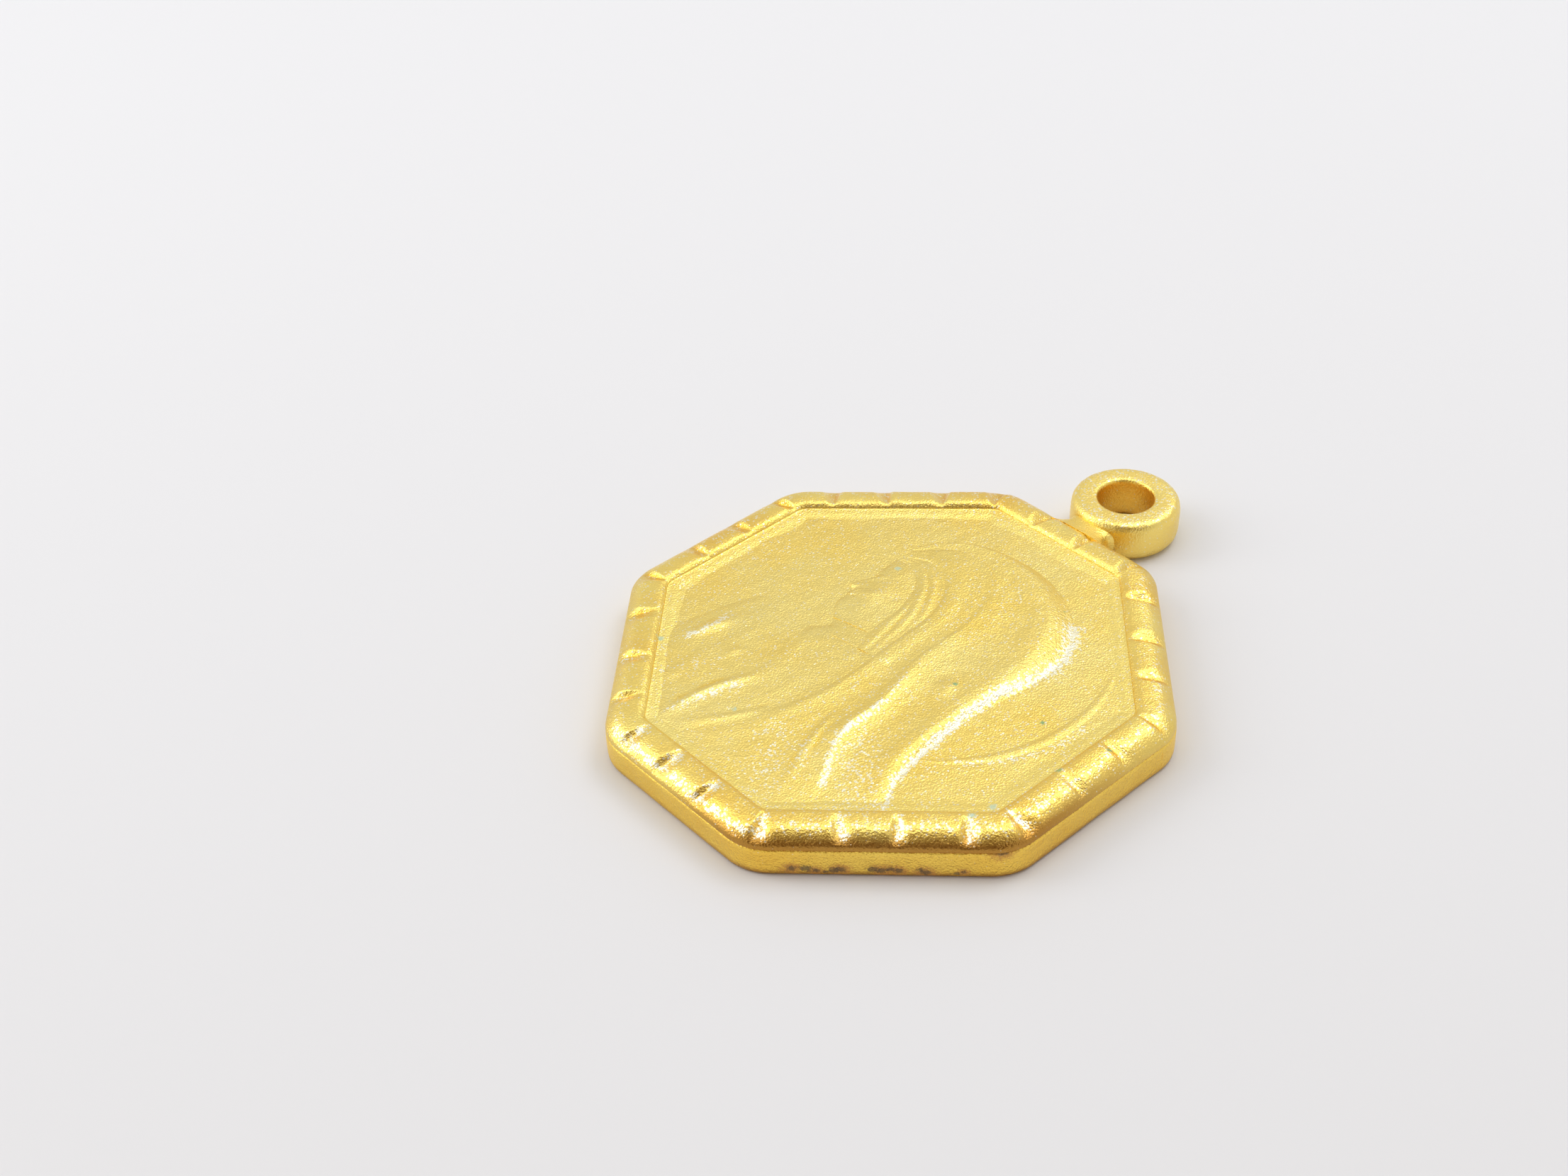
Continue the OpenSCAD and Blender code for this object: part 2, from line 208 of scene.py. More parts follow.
def markHollows(piece, more):
    # stores where the surface is hollow (to 1) or proud (to 0), 0.5 on the flat
    count = len(piece.data.vertices)
    ends = np.empty(len(piece.data.edges) * 2, np.int32)
    piece.data.edges.foreach_get("vertices", ends)
    ends = ends.reshape(-1, 2)
    normal = np.empty(count * 3, np.float32)
    piece.data.vertices.foreach_get("normal", normal)
    start = readPoints(piece)
    soft = start.copy()
    neighbours = np.bincount(ends.ravel(), minlength=count)[:, None]
    for _ in range(hollowPasses):
        total = np.zeros_like(soft)
        np.add.at(total, ends[:, 0], soft[ends[:, 1]])
        np.add.at(total, ends[:, 1], soft[ends[:, 0]])
        soft = (soft + total / neighbours) / 2
    deep = ((soft - start) * normal.reshape(-1, 3)).sum(1) / hollowDepth
    value = np.clip(0.5 + deep / 2, 0, 1)
    if more is not None:
        value = np.maximum(value, 0.5 + 0.5 * np.pad(more, (0, count - len(more))))
    storeShare(piece, "hollowShade", value)


# crests painted pale, as painted highlight with some rubbing, and wider patches of painted sparkle: line in
# half widths of the plate, half width of the pale band at both ends, and its strength
rubbedAndSheenLines = [
    ([(0.395, 0.535), (0.46, 0.45), (0.488, 0.36), (0.488, 0.26), (0.468, 0.17), (0.452, 0.06), (0.449, -0.06),
      (0.46, -0.16), (0.472, -0.265), (0.484, -0.365), (0.512, -0.465), (0.556, -0.55), (0.58, -0.6)],
     0.25, 0.07, 1.0),
    ([(0.21, -0.25), (0.226, -0.324), (0.224, -0.396), (0.24, -0.485), (0.276, -0.547), (0.322, -0.61),
      (0.36, -0.66)], 0.09, 0.1, 0.8),
    ([(0.152, 0.01), (0.188, -0.15), (0.217, -0.24)], 0.05, 0.07, 0.4),
    ([(-0.57, -0.49), (-0.54, -0.42), (-0.55, -0.3)], 0.1, 0.12, 0.75),
    ([(-0.3, -0.795), (-0.259, -0.671), (-0.22, -0.544)], 0.08, 0.14, 0.75),
    ([(-0.497, -0.68), (-0.415, -0.571), (-0.344, -0.423)], 0.08, 0.08, 0.3),
    ([(0.77, 0.18), (0.771, 0.053), (0.744, -0.042), (0.658, -0.197), (0.574, -0.262)], 0.08, 0.09, 0.45),
    ([(0.177, -0.559), (0.225, -0.645), (0.263, -0.7)], 0.14, 0.16, 0.35),
    ([(0.3, -0.45), (0.42, -0.58), (0.5, -0.66)], 0.45, 0.55, 0.3),
    ([(0.05, -0.6), (0.15, -0.72), (0.22, -0.8)], 0.4, 0.4, 0.22),
]
# points between two of a line, how the width changes along it, and how soon it ends below the field
sheenSteps, sheenTaper, sheenFade = 4, 0.6, 0.02


def markRubbedAndSheen(piece, more):
    # stores how far the surface is painted pale, as painted highlight with some rubbing, from 0 to 1
    points = readPoints(piece)
    value = np.zeros(len(points))
    for line, startWide, endWide, strength in rubbedAndSheenLines:
        away, share = distanceTo(points[:, 0], points[:, 1], smoothLine(line, sheenSteps) * unit)
        wide = startWide + (endWide - startWide) * share ** sheenTaper
        value = np.maximum(value, strength * bell(away, 0, wide))
    value *= growing(points[:, 2], fieldTop - sheenFade, sheenFade)
    if more is not None:
        value = np.maximum(value, np.pad(more, (0, len(points) - len(more))))
    storeShare(piece, "rubbedAndSheen", value)


def finishPiece(piece, finish, nodes, angle=60, more=None, wearAndSheen=None):
    # the two extra value lists add, point by point, to the painted shade of the hollows and to the pale crests
    # of painted highlight and rubbing
    onlySelect(piece)
    bpy.ops.object.shade_smooth_by_angle(angle=math.radians(angle))
    markHollows(piece, more)
    markRubbedAndSheen(piece, wearAndSheen)
    piece.data.materials.clear()
    piece.data.materials.append(finish)
    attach(piece, "root")
    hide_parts(*nodes)


# the camera, at the photograph's place
cameraView = {
    "place": (25.181, -24.101, 30.034),
    "turn": (51.976, 2.348, 48.409),
    "lens": 44.276,
    "sensor": 36,
    "clip": (0.001, 10),  # in m
}
bpy.ops.object.camera_add(location=[a * mm for a in cameraView["place"]],
                          rotation=[math.radians(a) for a in cameraView["turn"]])
camera = bpy.context.object
camera.data.lens = cameraView["lens"]
camera.data.sensor_width = cameraView["sensor"]
camera.data.clip_start, camera.data.clip_end = cameraView["clip"]
scene.camera = camera
# on the table, towards the viewer and to the right
near, right = Vector((0.769, -0.64, 0)), Vector((0.64, 0.769, 0))
print("camera placed")


# finishes
def addNode(tree, kind, **values):
    node = tree.nodes.new("ShaderNode" + kind)
    for name, value in values.items():
        if name in node.inputs:
            node.inputs[name].default_value = value
        else:
            setattr(node, name, value)
    return node


def addTexture(tree, kind, **values):
    texture = addNode(tree, kind, **values)
    tree.links.new(addNode(tree, "TexCoord").outputs["Object"], texture.inputs["Vector"])
    return texture


def addMath(tree, operation, *values, kind="Math", out=0):
    # each value is a number, a vector or the output of another node
    node = addNode(tree, kind, operation=operation)
    for socket, value in zip(node.inputs, values):
        if isinstance(value, bpy.types.NodeSocket):
            tree.links.new(value, socket)
        else:
            socket.default_value = value
    return node.outputs[out]


def addRange(tree, source, start, full, low=0, high=1, curve="SMOOTHSTEP"):
    # turns a value between start and full into one between low and high
    node = addNode(tree, "MapRange", interpolation_type=curve)
    for name, value in {"From Min": start, "From Max": full, "To Min": low, "To Max": high}.items():
        node.inputs[name].default_value = value
    tree.links.new(source, node.inputs["Value"])
    return node.outputs["Result"]


def layOver(tree, share, under, colour):
    # a colour over another one, or over what the tree has made so far
    mix = addNode(tree, "Mix", data_type="RGBA")
    mix.inputs[7].default_value = (*colour, 1)
    tree.links.new(share, mix.inputs[0])
    if isinstance(under, tuple):
        mix.inputs[6].default_value = (*under, 1)
    else:
        tree.links.new(under, mix.inputs[6])
    return mix.outputs[2]


def newGroup(name, inputs, outputs):
    group = bpy.data.node_groups.new(name, "ShaderNodeTree")
    for socketName, kind in inputs:
        group.interface.new_socket(name=socketName, in_out="INPUT", socket_type=kind)
    for socketName in outputs:
        group.interface.new_socket(name=socketName, in_out="OUTPUT", socket_type="NodeSocketFloat")
    return group, group.nodes.new("NodeGroupOutput")


# scales in cells to the metre, and how much the dimples weigh
skinForm = {"grain": 22000.0, "dimple": 3200.0, "patch": 420.0, "sparkleSpeck": 17000.0, "dimpleWeight": 1.6}


def makeCastSkin():
    # sandy casting skin: fine grains, coarser dimples, broad patches of tone and pale specks of painted glint
    group, made = newGroup("castSkin", [], ["Height", "Glint", "Tone", "SparkleSpeck"])
    link = group.links.new
    grain = addTexture(group, "TexVoronoi", feature="SMOOTH_F1", Scale=skinForm["grain"], Smoothness=0.6)
    fine = addTexture(group, "TexNoise", Scale=skinForm["grain"], Detail=3.0, Roughness=0.6)
    dimple = addTexture(group, "TexNoise", Scale=skinForm["dimple"], Detail=2.0, Roughness=0.5)
    tone = addTexture(group, "TexNoise", Scale=skinForm["patch"], Detail=3.0, Roughness=0.6)
    cells = addTexture(group, "TexVoronoi", Scale=skinForm["sparkleSpeck"])
    split = addNode(group, "SeparateColor")
    link(cells.outputs["Color"], split.inputs[0])
    sparkleSpeck = addMath(group, "SUBTRACT", split.outputs[0], cells.outputs["Distance"])
    both = addMath(group, "ADD", grain.outputs["Distance"], fine.outputs["Fac"])
    height = addMath(group, "MULTIPLY_ADD", dimple.outputs["Fac"], skinForm["dimpleWeight"], both)
    for source, socket in zip((height, grain.outputs["Distance"], tone.outputs["Fac"], sparkleSpeck), made.inputs):
        link(source, socket)
    return group


# its edge's scale and weight, the radii where it starts and is full, and how much it hides
spotForm = {"grain": 17000.0, "ragged": 1.8, "start": 1.85, "full": 1.2, "hides": 0.75}


def makeSpotMark():
    # a small ragged spot at a place on the piece
    group, made = newGroup("spotMark", [("Centre", "NodeSocketVector"), ("Radius", "NodeSocketFloat"),
                                        ("Squash", "NodeSocketVector")], ["Mask"])
    given = group.nodes.new("NodeGroupInput")
    place = addNode(group, "TexCoord").outputs["Object"]
    away = addMath(group, "SUBTRACT", place, given.outputs["Centre"], kind="VectorMath")
    pressed = addMath(group, "MULTIPLY", away, given.outputs["Squash"], kind="VectorMath")
    far = addMath(group, "LENGTH", pressed, kind="VectorMath", out="Value")
    ragged = addTexture(group, "TexNoise", Scale=spotForm["grain"], Detail=4.0, Roughness=0.7)
    share = addMath(group, "DIVIDE", far, given.outputs["Radius"])
    edge = addMath(group, "MULTIPLY_ADD", ragged.outputs["Fac"], spotForm["ragged"], share)
    mask = addRange(group, edge, spotForm["start"], spotForm["full"], 0, spotForm["hides"])
    group.links.new(mask, made.inputs["Mask"])
    return group


castSkin = makeCastSkin()
spotMark = makeSpotMark()

# places and radius: green specks of corrosion, and paler ones
greenSpots = [
    ((2.08, 0.05, 1.12), 0.09), ((4.25, 0.6, 0.95), 0.09), ((5.98, 0.86, 1.12), 0.1),
    ((5.62, -0.4, 1.13), 0.11), ((2.0, 3.85, 1.1), 0.07),
]
paleSpots = [
    ((5.33, -2.14, 0.98), 0.14), ((5.3, -2.75, 1.13), 0.12), ((-0.85, -4.1, 1.1), 0.1),
    ((-1.95, 2.15, 1.1), 0.12), ((-4.03, -3.7, 1.0), 0.12),
]
# tarnish pits low on the near wall: the way along it from its middle, the height and the radius
wallPits = [
    (-1.99, 0.21, 0.16), (-1.7, 0.21, 0.22), (-1.48, 0.16, 0.12), (-1.1, 0.17, 0.18), (-0.96, 0.19, 0.17),
    (-0.27, 0.2, 0.19), (-0.08, 0.18, 0.17), (0.1, 0.22, 0.16), (0.27, 0.18, 0.15), (0.72, 0.22, 0.12),
    (0.84, 0.14, 0.17), (1.5, 0.12, 0.09), (1.64, 0.17, 0.1), (-1.28, 0.12, 0.08), (2.45, 0.75, 0.2),
    (2.75, 0.76, 0.14),
]
wallMiddle, diagonal = (4.56, -4.56), 0.7071
darkPits = [((wallMiddle[0] + way * diagonal, wallMiddle[1] + way * diagonal, height), radius)
            for way, height, radius in wallPits]
rimWidth = 2.3  # every other pit has a rusty rim, in radii of the pit
rustRims = [(centre, radius * rimWidth) for centre, radius in darkPits[::2]]

# what the gold finishes share; a pair is where something starts and where it is full
goldForm = {
    "hollowShade": (0.45, 0.85), "patch": (0.35, 0.75), "patchShare": 0.75,
    "shadeAndTarnishGrain": 5000.0,
    "darkReflectionSide": (3.6, 6.3),  # towards the camera, where the painted dark reflection gets stronger
    "shadeTakesSheen": -0.35,  # what the painted edge shade and tarnish take from the pale painted highlight and rubbing
    "toneToSheen": 0.5,  # what a patch's tone adds to the pale painted highlight and rubbing
    "rubAndSheen": (0.5, 1.05), "rubAndSheenColour": (0.95, 0.91, 0.7), "spotMetal": 0.2, "glint": 0.8,
}


def goldFinish(name, light, deep, rough, grainDepth, plain, spotSets=(), edgeShadeAndTarnish=None, squash=(1, 1, 0.4)):
    # plain is 0 for a surface with many pale grains of painted glint, and more for one with fewer
    finish = bpy.data.materials.new(name)
    finish.use_nodes = True
    tree = finish.node_tree
    tree.nodes.clear()
    link = tree.links.new
    gold = addNode(tree, "BsdfPrincipled", Metallic=1.0)
    out = addNode(tree, "OutputMaterial")
    link(gold.outputs["BSDF"], out.inputs["Surface"])
    skin = addNode(tree, "Group", node_tree=castSkin)
    hollowShade = addNode(tree, "Attribute", attribute_name="hollowShade")
    hollowShadeMask = addRange(tree, hollowShade.outputs["Fac"], *goldForm["hollowShade"])
    patch = addRange(tree, skin.outputs["Tone"], *goldForm["patch"], 0, goldForm["patchShare"], "LINEAR")
    # hollows get the deep colour as painted shade, and random patches of tone get it too
    last = layOver(tree, addMath(tree, "MAXIMUM", hollowShadeMask, patch), light, deep)
    # grains and crests are painted pale: painted glints and highlights, with some rubbing
    rubbedAndSheen = addNode(tree, "Attribute", attribute_name="rubbedAndSheen")
    # the pale mark: painted highlight and rubbing, random tone, and pale specks of painted glint
    toned = addMath(tree, "MULTIPLY_ADD", skin.outputs["Tone"], goldForm["toneToSheen"], skin.outputs["SparkleSpeck"])
    level = addMath(tree, "ADD", rubbedAndSheen.outputs["Fac"], toned)
    if edgeShadeAndTarnish:
        # painted dark reflection and shade low on the outside, strongest on the side towards the camera, with
        # some tarnish
        place = addNode(tree, "TexCoord").outputs["Object"]
        split = addNode(tree, "SeparateXYZ")
        link(place, split.inputs[0])
        ragged = addTexture(tree, "TexNoise", Scale=goldForm["shadeAndTarnishGrain"], Detail=4.0, Roughness=0.7)
        lifted = addMath(tree, "MULTIPLY_ADD", ragged.outputs["Fac"], edgeShadeAndTarnish["ragged"] * mm,
                         split.outputs["Z"])
        top, bottom = ((edgeShadeAndTarnish[n] + edgeShadeAndTarnish["ragged"] / 2) * mm for n in ("top", "bottom"))
        side = addMath(tree, "DOT_PRODUCT", place, near, kind="VectorMath", out="Value")
        where = addRange(tree, side, *(a * mm for a in goldForm["darkReflectionSide"]),
                         edgeShadeAndTarnish["elsewhere"], edgeShadeAndTarnish["strength"])
        shadeAndTarnish = addMath(tree, "MULTIPLY", addRange(tree, lifted, top, bottom), where)
        last = layOver(tree, shadeAndTarnish, last, edgeShadeAndTarnish["colour"])
        level = addMath(tree, "MULTIPLY_ADD", shadeAndTarnish, goldForm["shadeTakesSheen"], level)
    pale = addRange(tree, level, *(a + plain for a in goldForm["rubAndSheen"]))
    last = layOver(tree, pale, last, goldForm["rubAndSheenColour"])
    marked = None
    for centre, radius, colour in [(c, r, tint) for spots, tint in spotSets for c, r in spots]:
        spot = addNode(tree, "Group", node_tree=spotMark)
        spot.inputs["Centre"].default_value = [a * mm for a in centre]
        spot.inputs["Squash"].default_value = squash
        spot.inputs["Radius"].default_value = radius * mm
        mask = spot.outputs["Mask"]
        last = layOver(tree, mask, last, colour)
        marked = mask if marked is None else addMath(tree, "MAXIMUM", marked, mask)
    if marked is not None:
        metal = addRange(tree, marked, 0, 1, 1, goldForm["spotMetal"], "LINEAR")
        link(metal, gold.inputs["Metallic"])
    link(last, gold.inputs["Base Color"])
    shine = addRange(tree, skin.outputs["Glint"], 0, goldForm["glint"], *rough, "LINEAR")
    link(shine, gold.inputs["Roughness"])
    bump = addNode(tree, "Bump", Strength=1.0, Distance=grainDepth * mm)
    link(skin.outputs["Height"], bump.inputs["Height"])
    link(bump.outputs["Normal"], gold.inputs["Normal"])
    return finish


green, chalk, soot, rust = (0.08, 0.36, 0.2), (0.5, 0.68, 0.52), (0.11, 0.085, 0.05), (0.62, 0.27, 0.05)
specks = [(greenSpots, green), (paleSpots, chalk)]
# the face's colours are painted paler for the light that falls on the open top, against the wall's copy of the
# gold
faceGold = goldFinish(
    "faceGold", light=(0.88, 0.71, 0.235), deep=(0.91, 0.64, 0.115), rough=(0.31, 0.45), grainDepth=0.011,
    plain=0.1, spotSets=specks)
lipGold = goldFinish(
    "lipGold", light=(0.95, 0.78, 0.25), deep=(0.95, 0.69, 0.14), rough=(0.3, 0.44), grainDepth=0.011,
    plain=0.06, spotSets=[(paleSpots, chalk)])
# the pads' dark band low on the outer shoulder is painted dark reflection and shade, strongest towards the
# camera, with some tarnish
borderGold = goldFinish(
    "borderGold", light=(0.94, 0.74, 0.205), deep=(0.9, 0.54, 0.075), rough=(0.25, 0.38), grainDepth=0.009,
    plain=0.12, spotSets=specks,
    edgeShadeAndTarnish={"top": 1.06, "bottom": 0.87, "ragged": 0.14, "strength": 0.88, "elsewhere": 0.15,
              "colour": (0.42, 0.19, 0.035)})
# the wall's copy of the gold is painted brighter and more saturated for the floor's bounce light, and darker
# at its foot as painted shade and reflection, most towards the camera
wallGoldBounceLit = goldFinish(
    "wallGoldBounceLit", light=(1.0, 0.72, 0.14), deep=(0.96, 0.59, 0.08), rough=(0.28, 0.45), grainDepth=0.016,
    plain=0.42, spotSets=[(rustRims, rust), (darkPits, soot)], squash=(1, 1, 1.5),
    edgeShadeAndTarnish={"top": 0.22, "bottom": 0.03, "ragged": 0.18, "strength": 0.8, "elsewhere": 0.4,
              "colour": (0.5, 0.24, 0.045)})
loopGold = goldFinish(
    "loopGold", light=(0.95, 0.74, 0.21), deep=(1.0, 0.68, 0.13), rough=(0.26, 0.4), grainDepth=0.008,
    plain=0.2)
print("finishes mixed")


# the octagon that every ring follows
octagon = {
    "halfWidth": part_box("plate")[1].x / mm,
    "halfHeight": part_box("plate")[1].y / mm,
    "cornerCut": 4.08,
    "cornerRound": 1.3,
    "padWidth": 0.85,
    "padCount": 28,
}
unit = octagon["halfWidth"]  # of the lines that are drawn on the relief
halfCorner = math.radians(22.5)


def layOutBorder(shape):
    # the way round at the pads' middle: its even points are where a corner's arc starts or ends
    r = shape["cornerRound"]
    x, y = shape["halfWidth"] - r, shape["halfHeight"] - r
    cut = shape["cornerCut"] + r * math.tan(halfCorner)
    fx, fy = shape["halfWidth"] - cut, shape["halfHeight"] - cut
    core = np.array([(x, fy), (fx, y), (-fx, y), (-x, fy), (-x, -fy), (-fx, -y), (fx, -y), (x, -fy)])
    arc = (r - shape["padWidth"] / 2) * math.pi / 4
    way, points, turns, at = [], [], [], 0
    for k in range(8):
        for end in (0, 1):
            way.append(at + end * arc)
            points.append(core[k])
            turns.append(45 * (k + end))
        at += arc + np.linalg.norm(core[(k + 1) % 8] - core[k])
    bottom = way[11] + np.linalg.norm(core[6] - core[5]) / 2  # corners 5 and 6 end the bottom side
    return core, np.array(way + [at]), np.array(points + [core[0]]), np.array(turns + [360]), bottom


core, wayTable, wayPoints, wayTurns, bottomMiddle = layOutBorder(octagon)
wayRound = wayTable[-1]
padPitch = wayRound / octagon["padCount"]


def borderAt(way, values):
    return np.interp(np.mod(way, wayRound), wayTable, values)


def borderPoint(way, inset):
    turn = np.radians(borderAt(way, wayTurns))
    reach = octagon["cornerRound"] - inset
    return (borderAt(way, wayPoints[:, 0]) + reach * np.cos(turn),
            borderAt(way, wayPoints[:, 1]) + reach * np.sin(turn))


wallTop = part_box("plate")[1].z / mm
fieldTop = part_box("field_plate")[1].z / mm
padSeat, reliefSeat = wallTop - 0.01, fieldTop - 0.03  # how far down the pieces on them reach

handWear = [(0.006, 1.1, 3), (0.004, 0.42, 5), (0.002, 0.17, 8)]  # height, patch size and seed


def handWorn(x, y, amount=1.0):
    return amount * sum(height * softNoise(x, y, size, seed) for height, size, seed in handWear)


# patch size and seed of a ring's waves, which spare its foot and all past the last inset
ringWear = {"broad": (1.3, 21), "fine": (0.4, 22), "fineShare": 0.5, "rise": (0.9, 23), "tall": 3,
            "foot": 0.02, "lastInset": 1.5}


def ringPiece(name, profile, columns, wobble):
    # a profile of [inset, height] carried round the octagon, and capped where it isn't closed
    closed = profile[0] == profile[-1]
    piece, row, column = newSheet(name, len(profile) - 1, columns)
    way = column / columns * wayRound
    inset, height = np.array(profile, float)[row].T
    x, y = borderPoint(way, inset)
    tall = height * ringWear["tall"]
    push = wobble * (softNoise(way, tall, *ringWear["broad"])
                     + ringWear["fineShare"] * softNoise(way, tall, *ringWear["fine"]))
    rise = wobble * softNoise(way, inset, *ringWear["rise"])
    free = (height > ringWear["foot"]) & (inset < ringWear["lastInset"])
    x2, y2 = borderPoint(way, inset + np.where(free, np.abs(push), 0))
    if closed:
        rise = np.where((row == 0) | (row == len(profile) - 1), 0, rise)
    setPoints(piece, np.c_[x2, y2, height + np.where(free, rise, 0)])
    closeRing(piece, capEnds=not closed)
    return piece


# plate: the plain wall and the flat back
castPlate = {"bevel": 0.06, "shoulder": 0.07, "wallSteps": 10, "columns": 900, "wobble": 0.008,
             "pitDepth": 0.014, "pitWidth": 0.7}
b, steps = castPlate["bevel"], castPlate["wallSteps"]
shoulder = wallTop - castPlate["shoulder"]
wall = [(2.2, wallTop - 0.03), (0.6, wallTop - 0.03), (0.12, wallTop - 0.02), (0.05, wallTop - 0.025),
        (0.018, wallTop - 0.04), (0.004, shoulder)]
wall += [(0.0, shoulder - i * (shoulder - b * 1.6) / steps) for i in range(1, steps)]
wall += [(0.004, b * 1.5), (b * 0.3, b * 0.7), (b * 0.75, b * 0.2), (b * 1.4, 0), (0.6, 0), (2.2, 0)]
plate = ringPiece("cast_plate", wall, castPlate["columns"], castPlate["wobble"])
points = readPoints(plate)
for centre, radius in darkPits:
    away = np.linalg.norm(points - np.array(centre), axis=1)
    dent = castPlate["pitDepth"] * bell(away, 0, radius * castPlate["pitWidth"])
    inwards = -points[:, :2] / np.linalg.norm(points[:, :2], axis=1)[:, None]
    points[:, :2] += inwards * dent[:, None]
setPoints(plate, points)
finishPiece(plate, wallGoldBounceLit, ["plate"], angle=50)
print("plate done")

# border bed and lip line
# insets, and heights over the wall's top or the field
bed = [(0.03, -0.06), (0.03, 0.005), (0.06, 0.02), (0.3, 0.06), (0.6, 0.11), (0.87, 0.145), (0.95, 0.15),
       (1.02, 0.16), (1.1, 0.17), (1.1, -0.06), (0.03, -0.06)]
bed = [(inset, wallTop + rise) for inset, rise in bed]
borderBed = ringPiece("border_bed_ring", bed, columns=600, wobble=0.004)
finishPiece(borderBed, borderGold, ["border_bed"])

lip = [(0.905, 0.08), (0.94, 0.06), (0.98, 0.048), (1.03, 0.042), (1.09, 0.037), (1.14, 0.031), (1.18, 0.024),
       (1.22, 0.015), (1.26, 0.008), (1.31, 0.002), (1.38, -0.004), (1.45, -0.014)]
lip = [(0.9, wallTop), *((inset, fieldTop + rise) for inset, rise in lip), (1.45, wallTop), (0.9, wallTop)]
lipLine = ringPiece("lip_ring", lip, columns=700, wobble=0.006)
finishPiece(lipLine, lipGold, ["lip_line"])
print("rings done")

# cushion pads, parted by filed notches
padForm = {
    "inset": [0, 0.012, 0.035, 0.07, 0.12, 0.18, 0.25, 0.33, 0.42, 0.52, 0.62, 0.71, 0.78, 0.84, 0.89, 0.93],
    "top": [0.78, 0.825, 0.865, 0.9, 0.945, 0.995, 1.045, 1.087, 1.113, 1.127, 1.134, 1.134, 1.127, 1.106,
            1.068, 1.028],
    "outerCut": [0, 0.003, 0.012, 0.026, 0.048, 0.076, 0.1, 0.115, 0.105, 0.07, 0.034, 0.015, 0.007, 0.003,
                 0, 0],
    "innerCut": [0, 0, 0, 0, 0, 0.004, 0.012, 0.028, 0.05, 0.075, 0.085, 0.078, 0.055, 0.03, 0.012, 0],
    "rows": 30, "columns": 64,
    "crowding": 0.11,  # draws the columns to the notches
    "setBack": 0.012,
    "halfNotch": [0.31, 0.15],  # at the wall and at the inner side
    "notchSides": [0.72, 1.3],  # the wide side after a notch and the steep one before it
    "leanFrom": 0.3,
    "handWear": 1.4,
    "wearAndSheen": (0.9, 0.25),  # the height where hand wear starts, and over which it grows
}
# how the pads' notches are darkened, as painted shade with some tarnish, and the pads painted pale, as painted
# highlight with some rubbing; a band has a middle and a width, as insets
padShadeAndSheen = {
    "shadeAndTarnish": 0.75, "shadeAndTarnishDepth": 0.1,
    "startShadeAndTarnish": 0.35,  # at a pad's start, against its end
    "endFloorSheen": 0.3,  # at a pad's end, against its start
    "innerFloor": 0.6, "floorDepth": 0.08,
    "foot": (0.8, 0.15),  # the turn where the charm's foot starts, and over which it grows
    "nearPads": 10,  # so many get more painted highlight and rubbing than the rest, and the foot most
    "crowns": (0.35, 0.15, 0.75), "crownBand": (0.4, 0.16), "footBand": (0.18, 0.1),
    "innerSheen": 0.9, "innerBand": (0.58, 0.2),
}
# how far each notch is moved along the border
notchShift = [0.05, 0.23, 0.48, 0.26, 0.31, 0.02, 0.23, 0.22, 0.09, 0.2, 0.15, 0.24, 0.18, 0.2,
              0.12, 0.22, 0.2, 0.26, 0.14, 0.2, 0.22, 0.16, 0.22, 0.3, 0.46, 0.45, 0.42, 0.18]
# how far it reaches in over the crown
notchReach = [0.3, 0.35, 0.1, 0.15, 0.15, 0.3, 0.4, 0.6, 0.7, 0.9, 0.95, *[1] * 8,
              0.95, 0.9, 0.9, 0.8, 0.6, 0.5, 0.4, 0.3, 0.3]
# how bright its floor is painted, as highlight with some rubbing
notchFloorSheen = [0.9, 0.9, 1, 1, 1, 0.7, 0.3, *[0.2] * 5, 0.15, *[0.1] * 9, 0.2, 0.3, 0.4, 0.5, 0.8, 0.9]
# how deep it is cut
notchCut = [0.9, 1, 1.05, 1.05, 1.05, 0.9, 0.6, 0.55, 0.55, 0.6, 0.8, *[1] * 10,
            0.9, 0.8, 0.75, 0.75, 0.8, 0.8, 0.85]
# and the hand's own differences from notch to notch and from pad to pad
padCount = octagon["padCount"]
notchRandom = np.random.default_rng(41)
notchLean = notchRandom.uniform(-0.1, 0.1, padCount)
notchWide = notchRandom.uniform(0.85, 1.15, padCount)
notchDeep = notchRandom.uniform(0.85, 1.1, padCount)
padTall = notchRandom.uniform(-0.014, 0.006, padCount)


def notchCentre(k, c):
    return notchShift[k] + (c - padForm["leanFrom"]) * notchLean[k]


